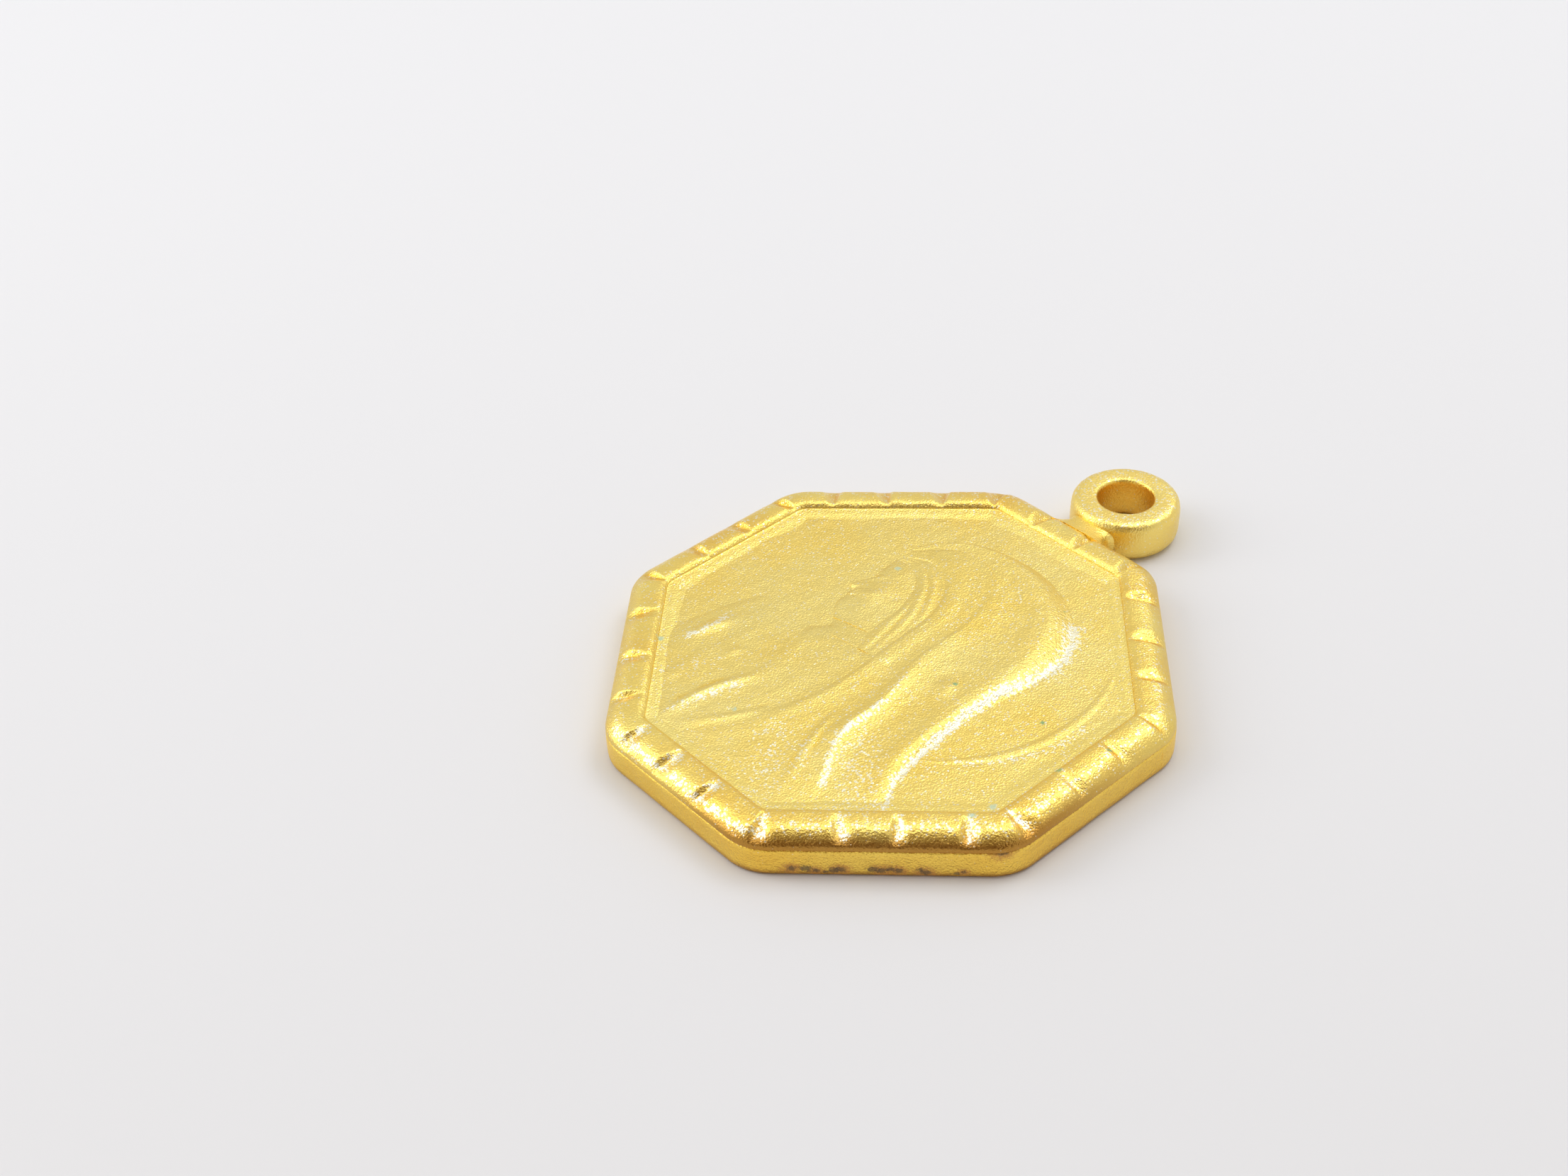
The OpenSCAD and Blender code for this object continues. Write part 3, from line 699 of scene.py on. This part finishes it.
def padSurface(number):
    # number 0 is the pad at the middle of the bottom side; it starts at notch k and ends at notch m
    k, m = (number - 1) % padCount, number
    piece, row, column = newSheet(f"border_cushion_{number + 1:02d}", padForm["rows"], padForm["columns"])
    knots = np.arange(len(padForm["inset"]))
    inset, top, outerCut, innerCut = (softLine(row / padForm["rows"] * knots[-1], knots, padForm[n])
                                      for n in ("inset", "top", "outerCut", "innerCut"))
    c = inset / padForm["inset"][-1]
    start = bottomMiddle + (number - 0.5) * padPitch + notchCentre(k, c)
    end = bottomMiddle + (number + 0.5) * padPitch + notchCentre(m, c)
    t = column / padForm["columns"]
    t = t - padForm["crowding"] * np.sin(2 * math.pi * t)
    way = start + t * (end - start)
    atWall, atInside = padForm["halfNotch"]
    half = atWall + (atInside - atWall) * c

    def groove(notch, away):
        d = np.abs(away) / (half * notchWide[notch]) * np.where(away > 0, *padForm["notchSides"])
        shape = 0.5 + 0.5 * np.cos(math.pi * np.clip(d, 0, 1))
        return shape, shape * notchDeep[notch] * notchCut[notch] * (outerCut + notchReach[notch] * innerCut)

    before, cutBefore = groove(k, way - start)
    after, cutAfter = groove(m, way - end)
    swell = padTall[number] * (1 - np.maximum(before, after))
    x, y = borderPoint(way, inset + padForm["setBack"])
    body = growing(top, *padForm["wearAndSheen"]) * (swell + handWorn(x, y, padForm["handWear"]))
    z = top + body - np.maximum(cutBefore, cutAfter)
    setPoints(piece, np.c_[x, y, z])
    closeUnder(piece, padSeat)
    # the notches are darkened along with the hollows, as painted shade with some tarnish
    shadeAndTarnish = np.maximum(padShadeAndSheen["startShadeAndTarnish"] * before * notchReach[k], after * notchReach[m])
    shadeAndTarnish = padShadeAndSheen["shadeAndTarnish"] * shadeAndTarnish * (innerCut + outerCut) / padShadeAndSheen["shadeAndTarnishDepth"]
    floorShare = growing(outerCut + padShadeAndSheen["innerFloor"] * innerCut, 0, padShadeAndSheen["floorDepth"])
    wearAndSheen = np.maximum(before * notchFloorSheen[k], padShadeAndSheen["endFloorSheen"] * after * notchFloorSheen[m]) * floorShare
    # the rim is painted pale, as highlight with some rubbing, on its outer edge at the foot of the charm, on
    # its crown elsewhere
    foot = growing(-np.sin(np.radians(borderAt(way, wayTurns))), *padShadeAndSheen["foot"])
    nearCrown, farCrown, footCrown = padShadeAndSheen["crowns"]
    strength = nearCrown if number < padShadeAndSheen["nearPads"] else farCrown
    band = (a + (b - a) * foot for a, b in zip(padShadeAndSheen["crownBand"], padShadeAndSheen["footBand"]))
    crown = (strength + (footCrown - strength) * foot) * bell(inset, *band)
    # and at the inner end of the notches there
    inner = padShadeAndSheen["innerSheen"] * foot * np.maximum(before, after) ** 0.5 * bell(inset, *padShadeAndSheen["innerBand"])
    finishPiece(piece, borderGold, [f"border_pad_{number + 1}"], angle=70, more=shadeAndTarnish,
                wearAndSheen=np.maximum(wearAndSheen, np.maximum(crown, inner)))


for number in range(padCount):
    padSurface(number)
print("cushions done")

# field
fieldForm = {"inset": 1.12, "rows": 224, "columns": 220}
field = newSheet("medal_field", fieldForm["rows"], fieldForm["columns"])[0]
points = readPoints(field) * mm
setPoints(field, np.c_[points[:, 0] * (octagon["halfWidth"] - fieldForm["inset"]),
                       points[:, 1] * (octagon["halfHeight"] - fieldForm["inset"]), points[:, 2]])
onlySelect(field)
switchMode("EDIT")
for corner in range(4):  # the grid's corners are cut off along the border
    turn = math.radians(45 + 90 * corner)
    outwards = (math.cos(turn), math.sin(turn), 0)
    cutPoint = core[corner * 2] + (octagon["cornerRound"] - fieldForm["inset"]) * np.array(outwards[:2])
    bpy.ops.mesh.select_all(action="SELECT")
    bpy.ops.mesh.bisect(plane_co=(*(cutPoint * mm), 0), plane_no=outwards, clear_outer=True)
switchMode("OBJECT")


# relief lines in half widths of the plate, each from the head down
lineSteps = 14
reliefLines = {
    "veilEdge": [(-0.36, 0.49), (-0.31, 0.575), (-0.2, 0.66), (-0.06, 0.705), (0.1, 0.705), (0.26, 0.65),
                 (0.4, 0.54), (0.485, 0.38), (0.5, 0.2), (0.475, 0.0), (0.475, -0.2), (0.5, -0.41),
                 (0.572, -0.59)],
    "veilFold": [(-0.345, 0.45), (-0.27, 0.53), (-0.17, 0.585), (-0.06, 0.575), (0.04, 0.51), (0.1, 0.41),
                 (0.135, 0.29), (0.145, 0.15), (0.15, 0.02), (0.18, -0.12), (0.21, -0.27), (0.225, -0.45),
                 (0.39, -0.76)],
    "veilFront": [(-0.33, 0.41), (-0.25, 0.445), (-0.17, 0.43), (-0.1, 0.38), (-0.045, 0.3), (-0.015, 0.21),
                  (-0.005, 0.12), (0.0, 0.02), (0.01, -0.09), (0.015, -0.22), (0.005, -0.37), (-0.04, -0.53),
                  (-0.19, -0.855)],
    "hairline": [(-0.34, 0.38), (-0.28, 0.375), (-0.22, 0.345), (-0.17, 0.29), (-0.14, 0.22), (-0.12, 0.15),
                 (-0.115, 0.07), (-0.1, -0.01), (-0.07, -0.1)],
    "chestFold": [(-0.3, -0.12), (-0.26, -0.28), (-0.24, -0.45), (-0.27, -0.62), (-0.305, -0.855)],
    "sleeveFold": [(-0.4, -0.07), (-0.43, -0.2), (-0.45, -0.34), (-0.46, -0.48), (-0.485, -0.68)],
    "mantleEdge": [(-0.5, -0.02), (-0.57, -0.12), (-0.615, -0.24), (-0.645, -0.37), (-0.68, -0.49)],
}
veilEdge, veilFold, veilFront, hairline, chestFold, sleeveFold, mantleEdge = (
    smoothLine(line, lineSteps) * unit for line in reliefLines.values())
headRows, faceRows = 8 * lineSteps, 7 * lineSteps
throatLine = [(-0.28, -0.03), (-0.262, -0.07), (-0.3, -0.12)]
throat = smoothLine(throatLine, lineSteps // 2) * unit

# short soft ridges and knobs on the relief: line or place in half widths, height and half width in mm
ridges = [
    ([(0.14, -0.42), (0.16, -0.5), (0.2, -0.6), (0.25, -0.7)], 0.035, 0.09),
    ([(-0.52, -0.31), (-0.535, -0.38), (-0.56, -0.47)], 0.07, 0.17),
    ([(-0.225, -0.48), (-0.26, -0.58), (-0.285, -0.68), (-0.295, -0.78)], 0.06, 0.11),
    ([(-0.05, -0.55), (-0.12, -0.68), (-0.2, -0.8)], 0.035, 0.12),
    ([(-0.36, -0.4), (-0.38, -0.46)], 0.03, 0.13),
    ([(-0.45, -0.02), (-0.39, -0.07), (-0.32, -0.11)], 0.03, 0.13),
]
knobs = [((0.31, -0.03), 0.05, 0.24), ((0.05, -0.08), 0.02, 0.15), ((-0.05, -0.14), 0.02, 0.13),
         ((-0.43, -0.66), 0.02, 0.12), ((0.0, -0.57), 0.02, 0.1)]
ridgeEnd, ridgeReach = 0.35, 0.02  # a ridge's share of its height at the ends


def reliefDetail(x, y):
    z = handWorn(x, y)
    for line, height, width in ridges:
        away, share = distanceTo(x, y, np.array(line) * unit)
        swell = np.sin(math.pi * np.clip(share, ridgeReach, 1 - ridgeReach))
        z = z + height * bell(away, 0, width) * (ridgeEnd + (1 - ridgeEnd) * swell)
    for (kx, ky), height, width in knobs:
        z = z + height * bell(x, kx * unit, width) * bell(y, ky * unit, width)
    return z


points = readPoints(field)
points[:, 2] = fieldTop + handWorn(points[:, 0], points[:, 1])
setPoints(field, points)
closeUnder(field, padSeat)
finishPiece(field, faceGold, ["field_plate"])
print("field done")

# a foot's share of its fold, the height over the field that has all the detail, the shading's angle
foldFoot, foldDetail, foldAngle = 0.2, 0.06, 70


def foldPiece(name, node, left, right, stations, places, table, columns, extra=None, corner=None):
    # one fold of the relief between two lines; its foot reaches out to a corner, where one is given
    rows = len(left) - 1
    piece, row, column = newSheet(name, rows, columns)
    t = np.arange(rows + 1) / rows
    c = np.arange(columns + 1) / columns
    height = softTable(stations, places, table, t, c)
    if extra is not None:
        height = height + extra(t[:, None], c[None, :])
    spot = left[row] + (column / columns)[:, None] * (right - left)[row]
    if corner is not None:
        foot = right[-1] - left[-1]
        share = np.dot(corner - left[-1], foot) / np.dot(foot, foot)
        down = growing(row / rows, 1 - foldFoot, foldFoot)
        reach = down * np.interp(column / columns, [0, share, 1], [0, 1, 0])
        spot = spot + reach[:, None] * (corner - left[-1] - share * foot)
    z = fieldTop + height[row, column]
    inner = growing(height[row, column], 0, foldDetail)
    z = z + inner * reliefDetail(spot[:, 0], spot[:, 1])
    setPoints(piece, np.c_[spot, z])
    closeUnder(piece, reliefSeat)
    finishPiece(piece, faceGold, [node], angle=foldAngle)


# each fold has its stations down it, its places across it, and its heights over the field at both
cornerReach = 0.18
lipCorner = core[6] + cornerReach * np.array([math.sin(halfCorner), -math.cos(halfCorner)])
foldPiece(
    "veil_back_fold", "veil_back", veilFold, veilEdge,
    [0, 0.17, 0.33, 0.5, 0.62, 0.75, 0.88, 0.965, 1],
    [0, 0.14, 0.3, 0.5, 0.62, 0.72, 0.8, 0.87, 0.94, 1],
    [[0.08, 0.08, 0.09, 0.09, 0.09, 0.08, 0.065, 0.04, 0.012, -0.01],
     [0.15, 0.155, 0.16, 0.17, 0.175, 0.165, 0.135, 0.09, 0.035, -0.01],
     [0.18, 0.18, 0.18, 0.195, 0.2, 0.185, 0.15, 0.1, 0.04, -0.01],
     [0.18, 0.17, 0.165, 0.18, 0.2, 0.2, 0.165, 0.11, 0.045, -0.01],
     [0.18, 0.15, 0.14, 0.155, 0.175, 0.185, 0.165, 0.115, 0.045, -0.01],
     [0.185, 0.125, 0.1, 0.11, 0.13, 0.15, 0.15, 0.115, 0.045, -0.01],
     [0.19, 0.11, 0.075, 0.085, 0.1, 0.12, 0.13, 0.105, 0.045, -0.01],
     [0.1, 0.055, 0.04, 0.045, 0.05, 0.06, 0.065, 0.055, 0.025, -0.01],
     [0] * 9 + [-0.01]], 56)
foldPiece(
    "veil_front_fold", "veil_front", veilFront, veilFold,
    [0, 0.2, 0.4, 0.6, 0.75, 0.9, 0.965, 1],
    [0, 0.12, 0.3, 0.55, 0.8, 0.92, 1],
    [[0.08, 0.09, 0.09, 0.09, 0.09, 0.085, 0.08],
     [0.13, 0.16, 0.165, 0.155, 0.155, 0.155, 0.155],
     [0.14, 0.175, 0.18, 0.165, 0.165, 0.175, 0.18],
     [0.14, 0.17, 0.17, 0.155, 0.165, 0.185, 0.18],
     [0.12, 0.15, 0.14, 0.13, 0.15, 0.18, 0.185],
     [0.1, 0.125, 0.11, 0.1, 0.13, 0.175, 0.19],
     [0.05, 0.06, 0.05, 0.05, 0.065, 0.085, 0.1],
     [0] * 7], 40, corner=lipCorner)


hairForm = {"height": 0.012, "locks": 2.6, "sway": 0.6, "bends": 5}


def hairWaves(t, c):
    lock = np.sin(2 * math.pi * (hairForm["locks"] * c + hairForm["sway"] * np.sin(hairForm["bends"] * t)))
    return hairForm["height"] * lock * np.sin(math.pi * c) * np.sin(math.pi * t) ** 0.5


foldPiece(
    "hair_waves", "hair", hairline, veilFront[:headRows + 1],
    [0, 0.3, 0.6, 1], [0, 0.2, 0.6, 1],
    [[0.06, 0.07, 0.08, 0.08], [0.1, 0.13, 0.14, 0.13],
     [0.12, 0.15, 0.155, 0.14], [0.1, 0.12, 0.12, 0.12]], 24, extra=hairWaves)

# a plain profile on common thirds, from the hairline to under the chin: forwards and upwards
faceForm = {
    "height": 0.36,
    "lean": 6,
    "steps": 20,
    "profile": [(0.04, 1), (0.055, 0.84), (0.06, 0.68), (0.04, 0.61), (0.17, 0.385), (0.085, 0.325),
                (0.1, 0.26), (0.082, 0.21), (0.092, 0.15), (0.075, 0.04)],
}


def faceProfile():
    lean = math.radians(faceForm["lean"])
    brow = np.array(reliefLines["hairline"][0])
    line = []
    for forwards, upwards in faceForm["profile"]:
        x, y = -forwards, upwards - 1
        line.append(brow + faceForm["height"] * np.array(
            [x * math.cos(lean) - y * math.sin(lean), x * math.sin(lean) + y * math.cos(lean)]))
    line.append(np.array(throatLine[0]))
    curve = smoothLine(line, faceForm["steps"]) * unit
    even = np.linspace(0, len(curve) - 1, faceRows + 1)
    return np.c_[tuple(np.interp(even, range(len(curve)), curve[:, axis]) for axis in (0, 1))]


# soft bumps and dents: the place down and across, the length and width, and the height in mm
faceBumps = [
    (0.33, 0.32, 0.03, 0.16, 0.014),  # brow
    (0.41, 0.3, 0.035, 0.12, -0.022),  # eye socket
    (0.42, 0.28, 0.012, 0.08, 0.012),  # lid
    (0.6, 0.42, 0.09, 0.16, 0.022),  # cheek
    (0.56, 0.13, 0.03, 0.06, 0.018),  # side of the nose
    (0.7, 0.1, 0.012, 0.1, -0.014),  # mouth
    (0.67, 0.1, 0.015, 0.07, 0.01),  # upper lip
    (0.74, 0.1, 0.015, 0.07, 0.01),  # lower lip
    (0.88, 0.14, 0.05, 0.1, 0.012),  # chin
]


def faceMarks(t, c):
    return sum(height * bell(t, down, long) * bell(c, across, wide)
               for down, across, long, wide, height in faceBumps)


foldPiece(
    "face_profile", "face", faceProfile(), hairline[:faceRows + 1],
    [0, 0.25, 0.42, 0.6, 0.8, 1], [0, 0.05, 0.14, 0.3, 0.55, 0.8, 1],
    [[-0.02, 0.02, 0.045, 0.065, 0.07, 0.07, 0.06],
     [-0.02, 0.045, 0.09, 0.12, 0.13, 0.12, 0.1],
     [-0.02, 0.045, 0.09, 0.125, 0.14, 0.13, 0.11],
     [-0.02, 0.05, 0.1, 0.13, 0.15, 0.135, 0.12],
     [-0.02, 0.04, 0.08, 0.11, 0.135, 0.13, 0.12],
     [-0.02, 0.01, 0.03, 0.06, 0.09, 0.105, 0.105]], 44, extra=faceMarks)
foldPiece(
    "neck_curve", "neck", throat, hairline[faceRows:],
    [0, 0.5, 1], [0, 0.25, 0.6, 1],
    [[-0.02, 0.04, 0.08, 0.105], [-0.02, 0.05, 0.085, 0.1], [-0.01, 0.06, 0.09, 0.1]], 22)
foldPiece(
    "mantle_chest_fold", "mantle_chest", chestFold, veilFront[headRows:],
    [0, 0.12, 0.45, 0.8, 0.95, 1], [0, 0.12, 0.35, 0.6, 0.85, 1],
    [[-0.01, 0.06, 0.08, 0.09, 0.105, 0.13], [0.09, 0.105, 0.105, 0.11, 0.115, 0.125],
     [0.095, 0.11, 0.1, 0.105, 0.1, 0.11], [0.08, 0.09, 0.08, 0.085, 0.075, 0.075],
     [0.045, 0.05, 0.04, 0.04, 0.03, 0.024], [0] * 6], 38)
foldPiece(
    "mantle_middle_fold", "mantle_fold", sleeveFold, chestFold,
    [0, 0.25, 0.5, 0.8, 0.95, 1], [0, 0.15, 0.45, 0.75, 1],
    [[-0.02] * 4 + [-0.01], [0.035, 0.042, 0.05, 0.06, 0.075],
     [0.065, 0.078, 0.075, 0.08, 0.09], [0.07, 0.082, 0.075, 0.075, 0.08],
     [0.04, 0.05, 0.04, 0.04, 0.045], [0] * 5], 32)
foldPiece(
    "mantle_sleeve_fold", "mantle_sleeve", mantleEdge, sleeveFold,
    [0, 0.25, 0.5, 0.8, 0.95, 1], [0, 0.2, 0.5, 0.75, 1],
    [[-0.02] * 5, [-0.02, 0.01, 0.02, 0.03, 0.035],
     [-0.02, 0.02, 0.045, 0.06, 0.065], [-0.02, 0.03, 0.055, 0.065, 0.07],
     [-0.02, 0.01, 0.035, 0.04, 0.04], [-0.02, 0, 0, 0, 0]], 32)
print("relief done")

# arc line behind the veil
haloForm = {
    "centre": (0.1, 0.155), "radius": 0.635, "turn": (-52, 30), "width": 0.36, "height": 0.025,
    "narrowest": 0.4, "sink": 0.003, "rows": 160, "columns": 16,
}
halo, row, column = newSheet("halo_arc", haloForm["rows"], haloForm["columns"])
along = row / haloForm["rows"]
side = column / haloForm["columns"] * 2 - 1
first, last = haloForm["turn"]
angle = np.radians(first + (last - first) * along)
fade = np.sin(math.pi * np.clip(along, 0, 1)) ** 0.6
halfWide = haloForm["width"] / 2 * (haloForm["narrowest"] + (1 - haloForm["narrowest"]) * fade)
radius = haloForm["radius"] * unit + side * halfWide
x = haloForm["centre"][0] * unit + radius * np.cos(angle)
y = haloForm["centre"][1] * unit + radius * np.sin(angle)
crest = (haloForm["height"] + haloForm["sink"]) * np.cos(side * math.pi / 2) ** 1.6 * fade
z = fieldTop - haloForm["sink"] + crest + handWorn(x, y)
setPoints(halo, np.c_[x, y, z])
closeUnder(halo, reliefSeat)
finishPiece(halo, faceGold, ["halo_line"])
print("arc done")

# loop and neck
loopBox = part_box("loop")
loopForm = {
    "centre": (0.0, (loopBox[0].y + loopBox[1].y) / 2 / mm),
    "outer": (loopBox[1].x - loopBox[0].x) / 2 / mm,
    "bore": 0.7,
    "height": loopBox[1].z / mm,
    "rawHalf": 0.25,  # of the round ring that it is pressed from
    "inside": (0.28, 0.28),  # how square it is sideways and upwards; 1 is round
    "outside": (0.62, 0.5),
    "waves": [(0.012, 2.2, 2, 0.8, 61), (0.006, 4, 4, 0.5, 62)],  # height, pace round and up, size, seed
    "boreShade": (1.6 / 3, 1 / 3),  # where the painted shade in the bore starts, and over which way in
    # the ring's top is painted pale, as highlight with some rubbing
    "rubAndSheen": 0.35,
    "sheenBand": (0.95, 0.2),
}
ringMiddle = (loopForm["outer"] + loopForm["bore"]) / 2
ringHalf = (loopForm["outer"] - loopForm["bore"]) / 2
bpy.ops.mesh.primitive_torus_add(major_segments=144, minor_segments=56, major_radius=1,
                                 minor_radius=loopForm["rawHalf"])
loop = bpy.context.object
loop.name = loop.data.name = "hanging_loop"
points = readPoints(loop) * mm
turn = np.arctan2(points[:, 1], points[:, 0])
sideways = (np.hypot(points[:, 0], points[:, 1]) - 1) / loopForm["rawHalf"]
upwards = points[:, 2] / loopForm["rawHalf"]


def squarer(a, power):
    return np.sign(a) * np.abs(a) ** power


# round outside, straight inside the bore, nearly flat on top
wide, tall = (squarer(a, np.where(sideways < 0, inside, outside)) for a, inside, outside in
              zip((sideways, upwards), loopForm["inside"], loopForm["outside"]))
wobble = sum(height * softNoise(turn * roundPace, upwards * upPace, size, seed)
             for height, roundPace, upPace, size, seed in loopForm["waves"])
r = ringMiddle + ringHalf * wide - np.abs(wobble) * (sideways > 0)
z = loopForm["height"] / 2 * (1 + tall)
setPoints(loop, np.c_[r * np.cos(turn) + loopForm["centre"][0], r * np.sin(turn) + loopForm["centre"][1],
                      np.clip(z, 0, loopForm["height"])])
finishPiece(loop, loopGold, ["loop"], angle=80, more=growing(-sideways, *loopForm["boreShade"]),
            wearAndSheen=loopForm["rubAndSheen"] * bell(upwards, *loopForm["sheenBand"]))

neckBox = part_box("loop_neck")
neckForm = {
    "fromY": octagon["halfHeight"] - 0.15,
    "toY": loopForm["centre"][1] - loopForm["bore"] - 0.3,
    "top": wallTop + 0.24,
    "bottom": neckBox[0].z / mm,
    "waist": 0.66,  # half the width there, and how much is added at the plate
    "flare": 0.46,
    "loopShare": 0.35,  # of the flare, at the ring's end
    "waistAt": 0.55,
    "waistHeight": 0.86,  # as a share
    "square": 0.6, "rows": 36, "columns": 48,
}
neck, row, column = newSheet("loop_neck_web", neckForm["rows"], neckForm["columns"])
t = row / neckForm["rows"]
turn = 2 * math.pi * column / neckForm["columns"]
waist = neckForm["waistAt"]
flare = growing(-t, -waist, waist) ** 2 + neckForm["loopShare"] * growing(t, waist, 1 - waist) ** 2
halfWide = neckForm["waist"] + neckForm["flare"] * flare
middleZ = (neckForm["top"] + neckForm["bottom"]) / 2
low = neckForm["waistHeight"]
halfTall = (neckForm["top"] - neckForm["bottom"]) / 2 * (low + (1 - low) * np.abs(2 * t - 1) ** 2)
x = halfWide * squarer(np.cos(turn), neckForm["square"])
z = middleZ + halfTall * squarer(np.sin(turn), neckForm["square"])
y = neckForm["fromY"] + t * (neckForm["toY"] - neckForm["fromY"])
setPoints(neck, np.c_[x, y, z])
closeRing(neck, capEnds=True)
finishPiece(neck, loopGold, ["loop_neck"], angle=80)
print("loop done")


# floor, lamps and world
def plainFinish(name, colour, roughness, specular):
    finish = bpy.data.materials.new(name)
    finish.use_nodes = True
    shader = finish.node_tree.nodes["Principled BSDF"]
    shader.inputs["Base Color"].default_value = (*colour, 1)
    shader.inputs["Roughness"].default_value = roughness
    shader.inputs["Specular IOR Level"].default_value = specular
    return finish


floorForm = {"radius": 0.8, "drop": 0.01, "sides": 128}  # radius in m
bpy.ops.mesh.primitive_circle_add(vertices=floorForm["sides"], radius=floorForm["radius"], fill_type="NGON",
                                  location=(0, 0, -floorForm["drop"] * mm))
floor = bpy.context.object
floor.name = "floor"
floor.data.materials.append(plainFinish("palePaper", (0.785, 0.785, 0.8), roughness=0.9, specular=0.1))

lamps = [
    # name, degrees from the far horizon over the object, degrees to the right, width and length in m, watts
    ("overheadPanel", 86, 0, 0.26, 0.06, 0.075),
    ("sidePanel", 71, -56, 0.14, 0.08, 0.1),
    ("windowPanel", 68, 27, 0.08, 0.08, 0.065),
]
lampDistance = 0.2
for name, rise, aside, width, length, watts in lamps:
    rise, aside = math.radians(rise), math.radians(aside)
    aim = (-near * math.cos(rise) + Vector((0, 0, math.sin(rise)))) * math.cos(aside) + right * math.sin(aside)
    data = bpy.data.lights.new(name, "AREA")
    data.shape, data.size, data.size_y, data.energy = "RECTANGLE", width, length, watts
    lamp = bpy.data.objects.new(name, data)
    scene.collection.objects.link(lamp)
    lamp.location = aim * lampDistance
    across = (right - aim * right.dot(aim)).normalized()
    lamp.rotation_mode = "QUATERNION"
    lamp.rotation_quaternion = Matrix((across, aim.cross(across), aim)).transposed().to_quaternion()

# a dark card behind the camera gives the near rim its dark reflection
darkSide = {"distance": 0.1, "elevation": 42, "width": 0.11, "height": 0.12}
tilt = math.radians(darkSide["elevation"])
cardPlace = (near * math.cos(tilt) + Vector((0, 0, math.sin(tilt)))) * darkSide["distance"]
bpy.ops.mesh.primitive_plane_add(size=1, location=cardPlace)
darkCard = bpy.context.object
darkCard.name = "dark_card"
darkCard.scale = (darkSide["width"], darkSide["height"], 1)
darkCard.rotation_mode = "QUATERNION"
darkCard.rotation_quaternion = cardPlace.to_track_quat("Z", "Y")
darkCard.visible_camera = False
darkCard.data.materials.append(plainFinish("darkCloth", (0.26, 0.17, 0.08), roughness=0.9, specular=0.5))

roomLight = {"colour": (0.765, 0.765, 0.77), "strength": 1.0}
world = bpy.data.worlds.new("softRoom")
world.use_nodes = True
background = world.node_tree.nodes["Background"]
background.inputs["Color"].default_value = (*roomLight["colour"], 1)
background.inputs["Strength"].default_value = roomLight["strength"]
scene.world = world
print("stage lit")
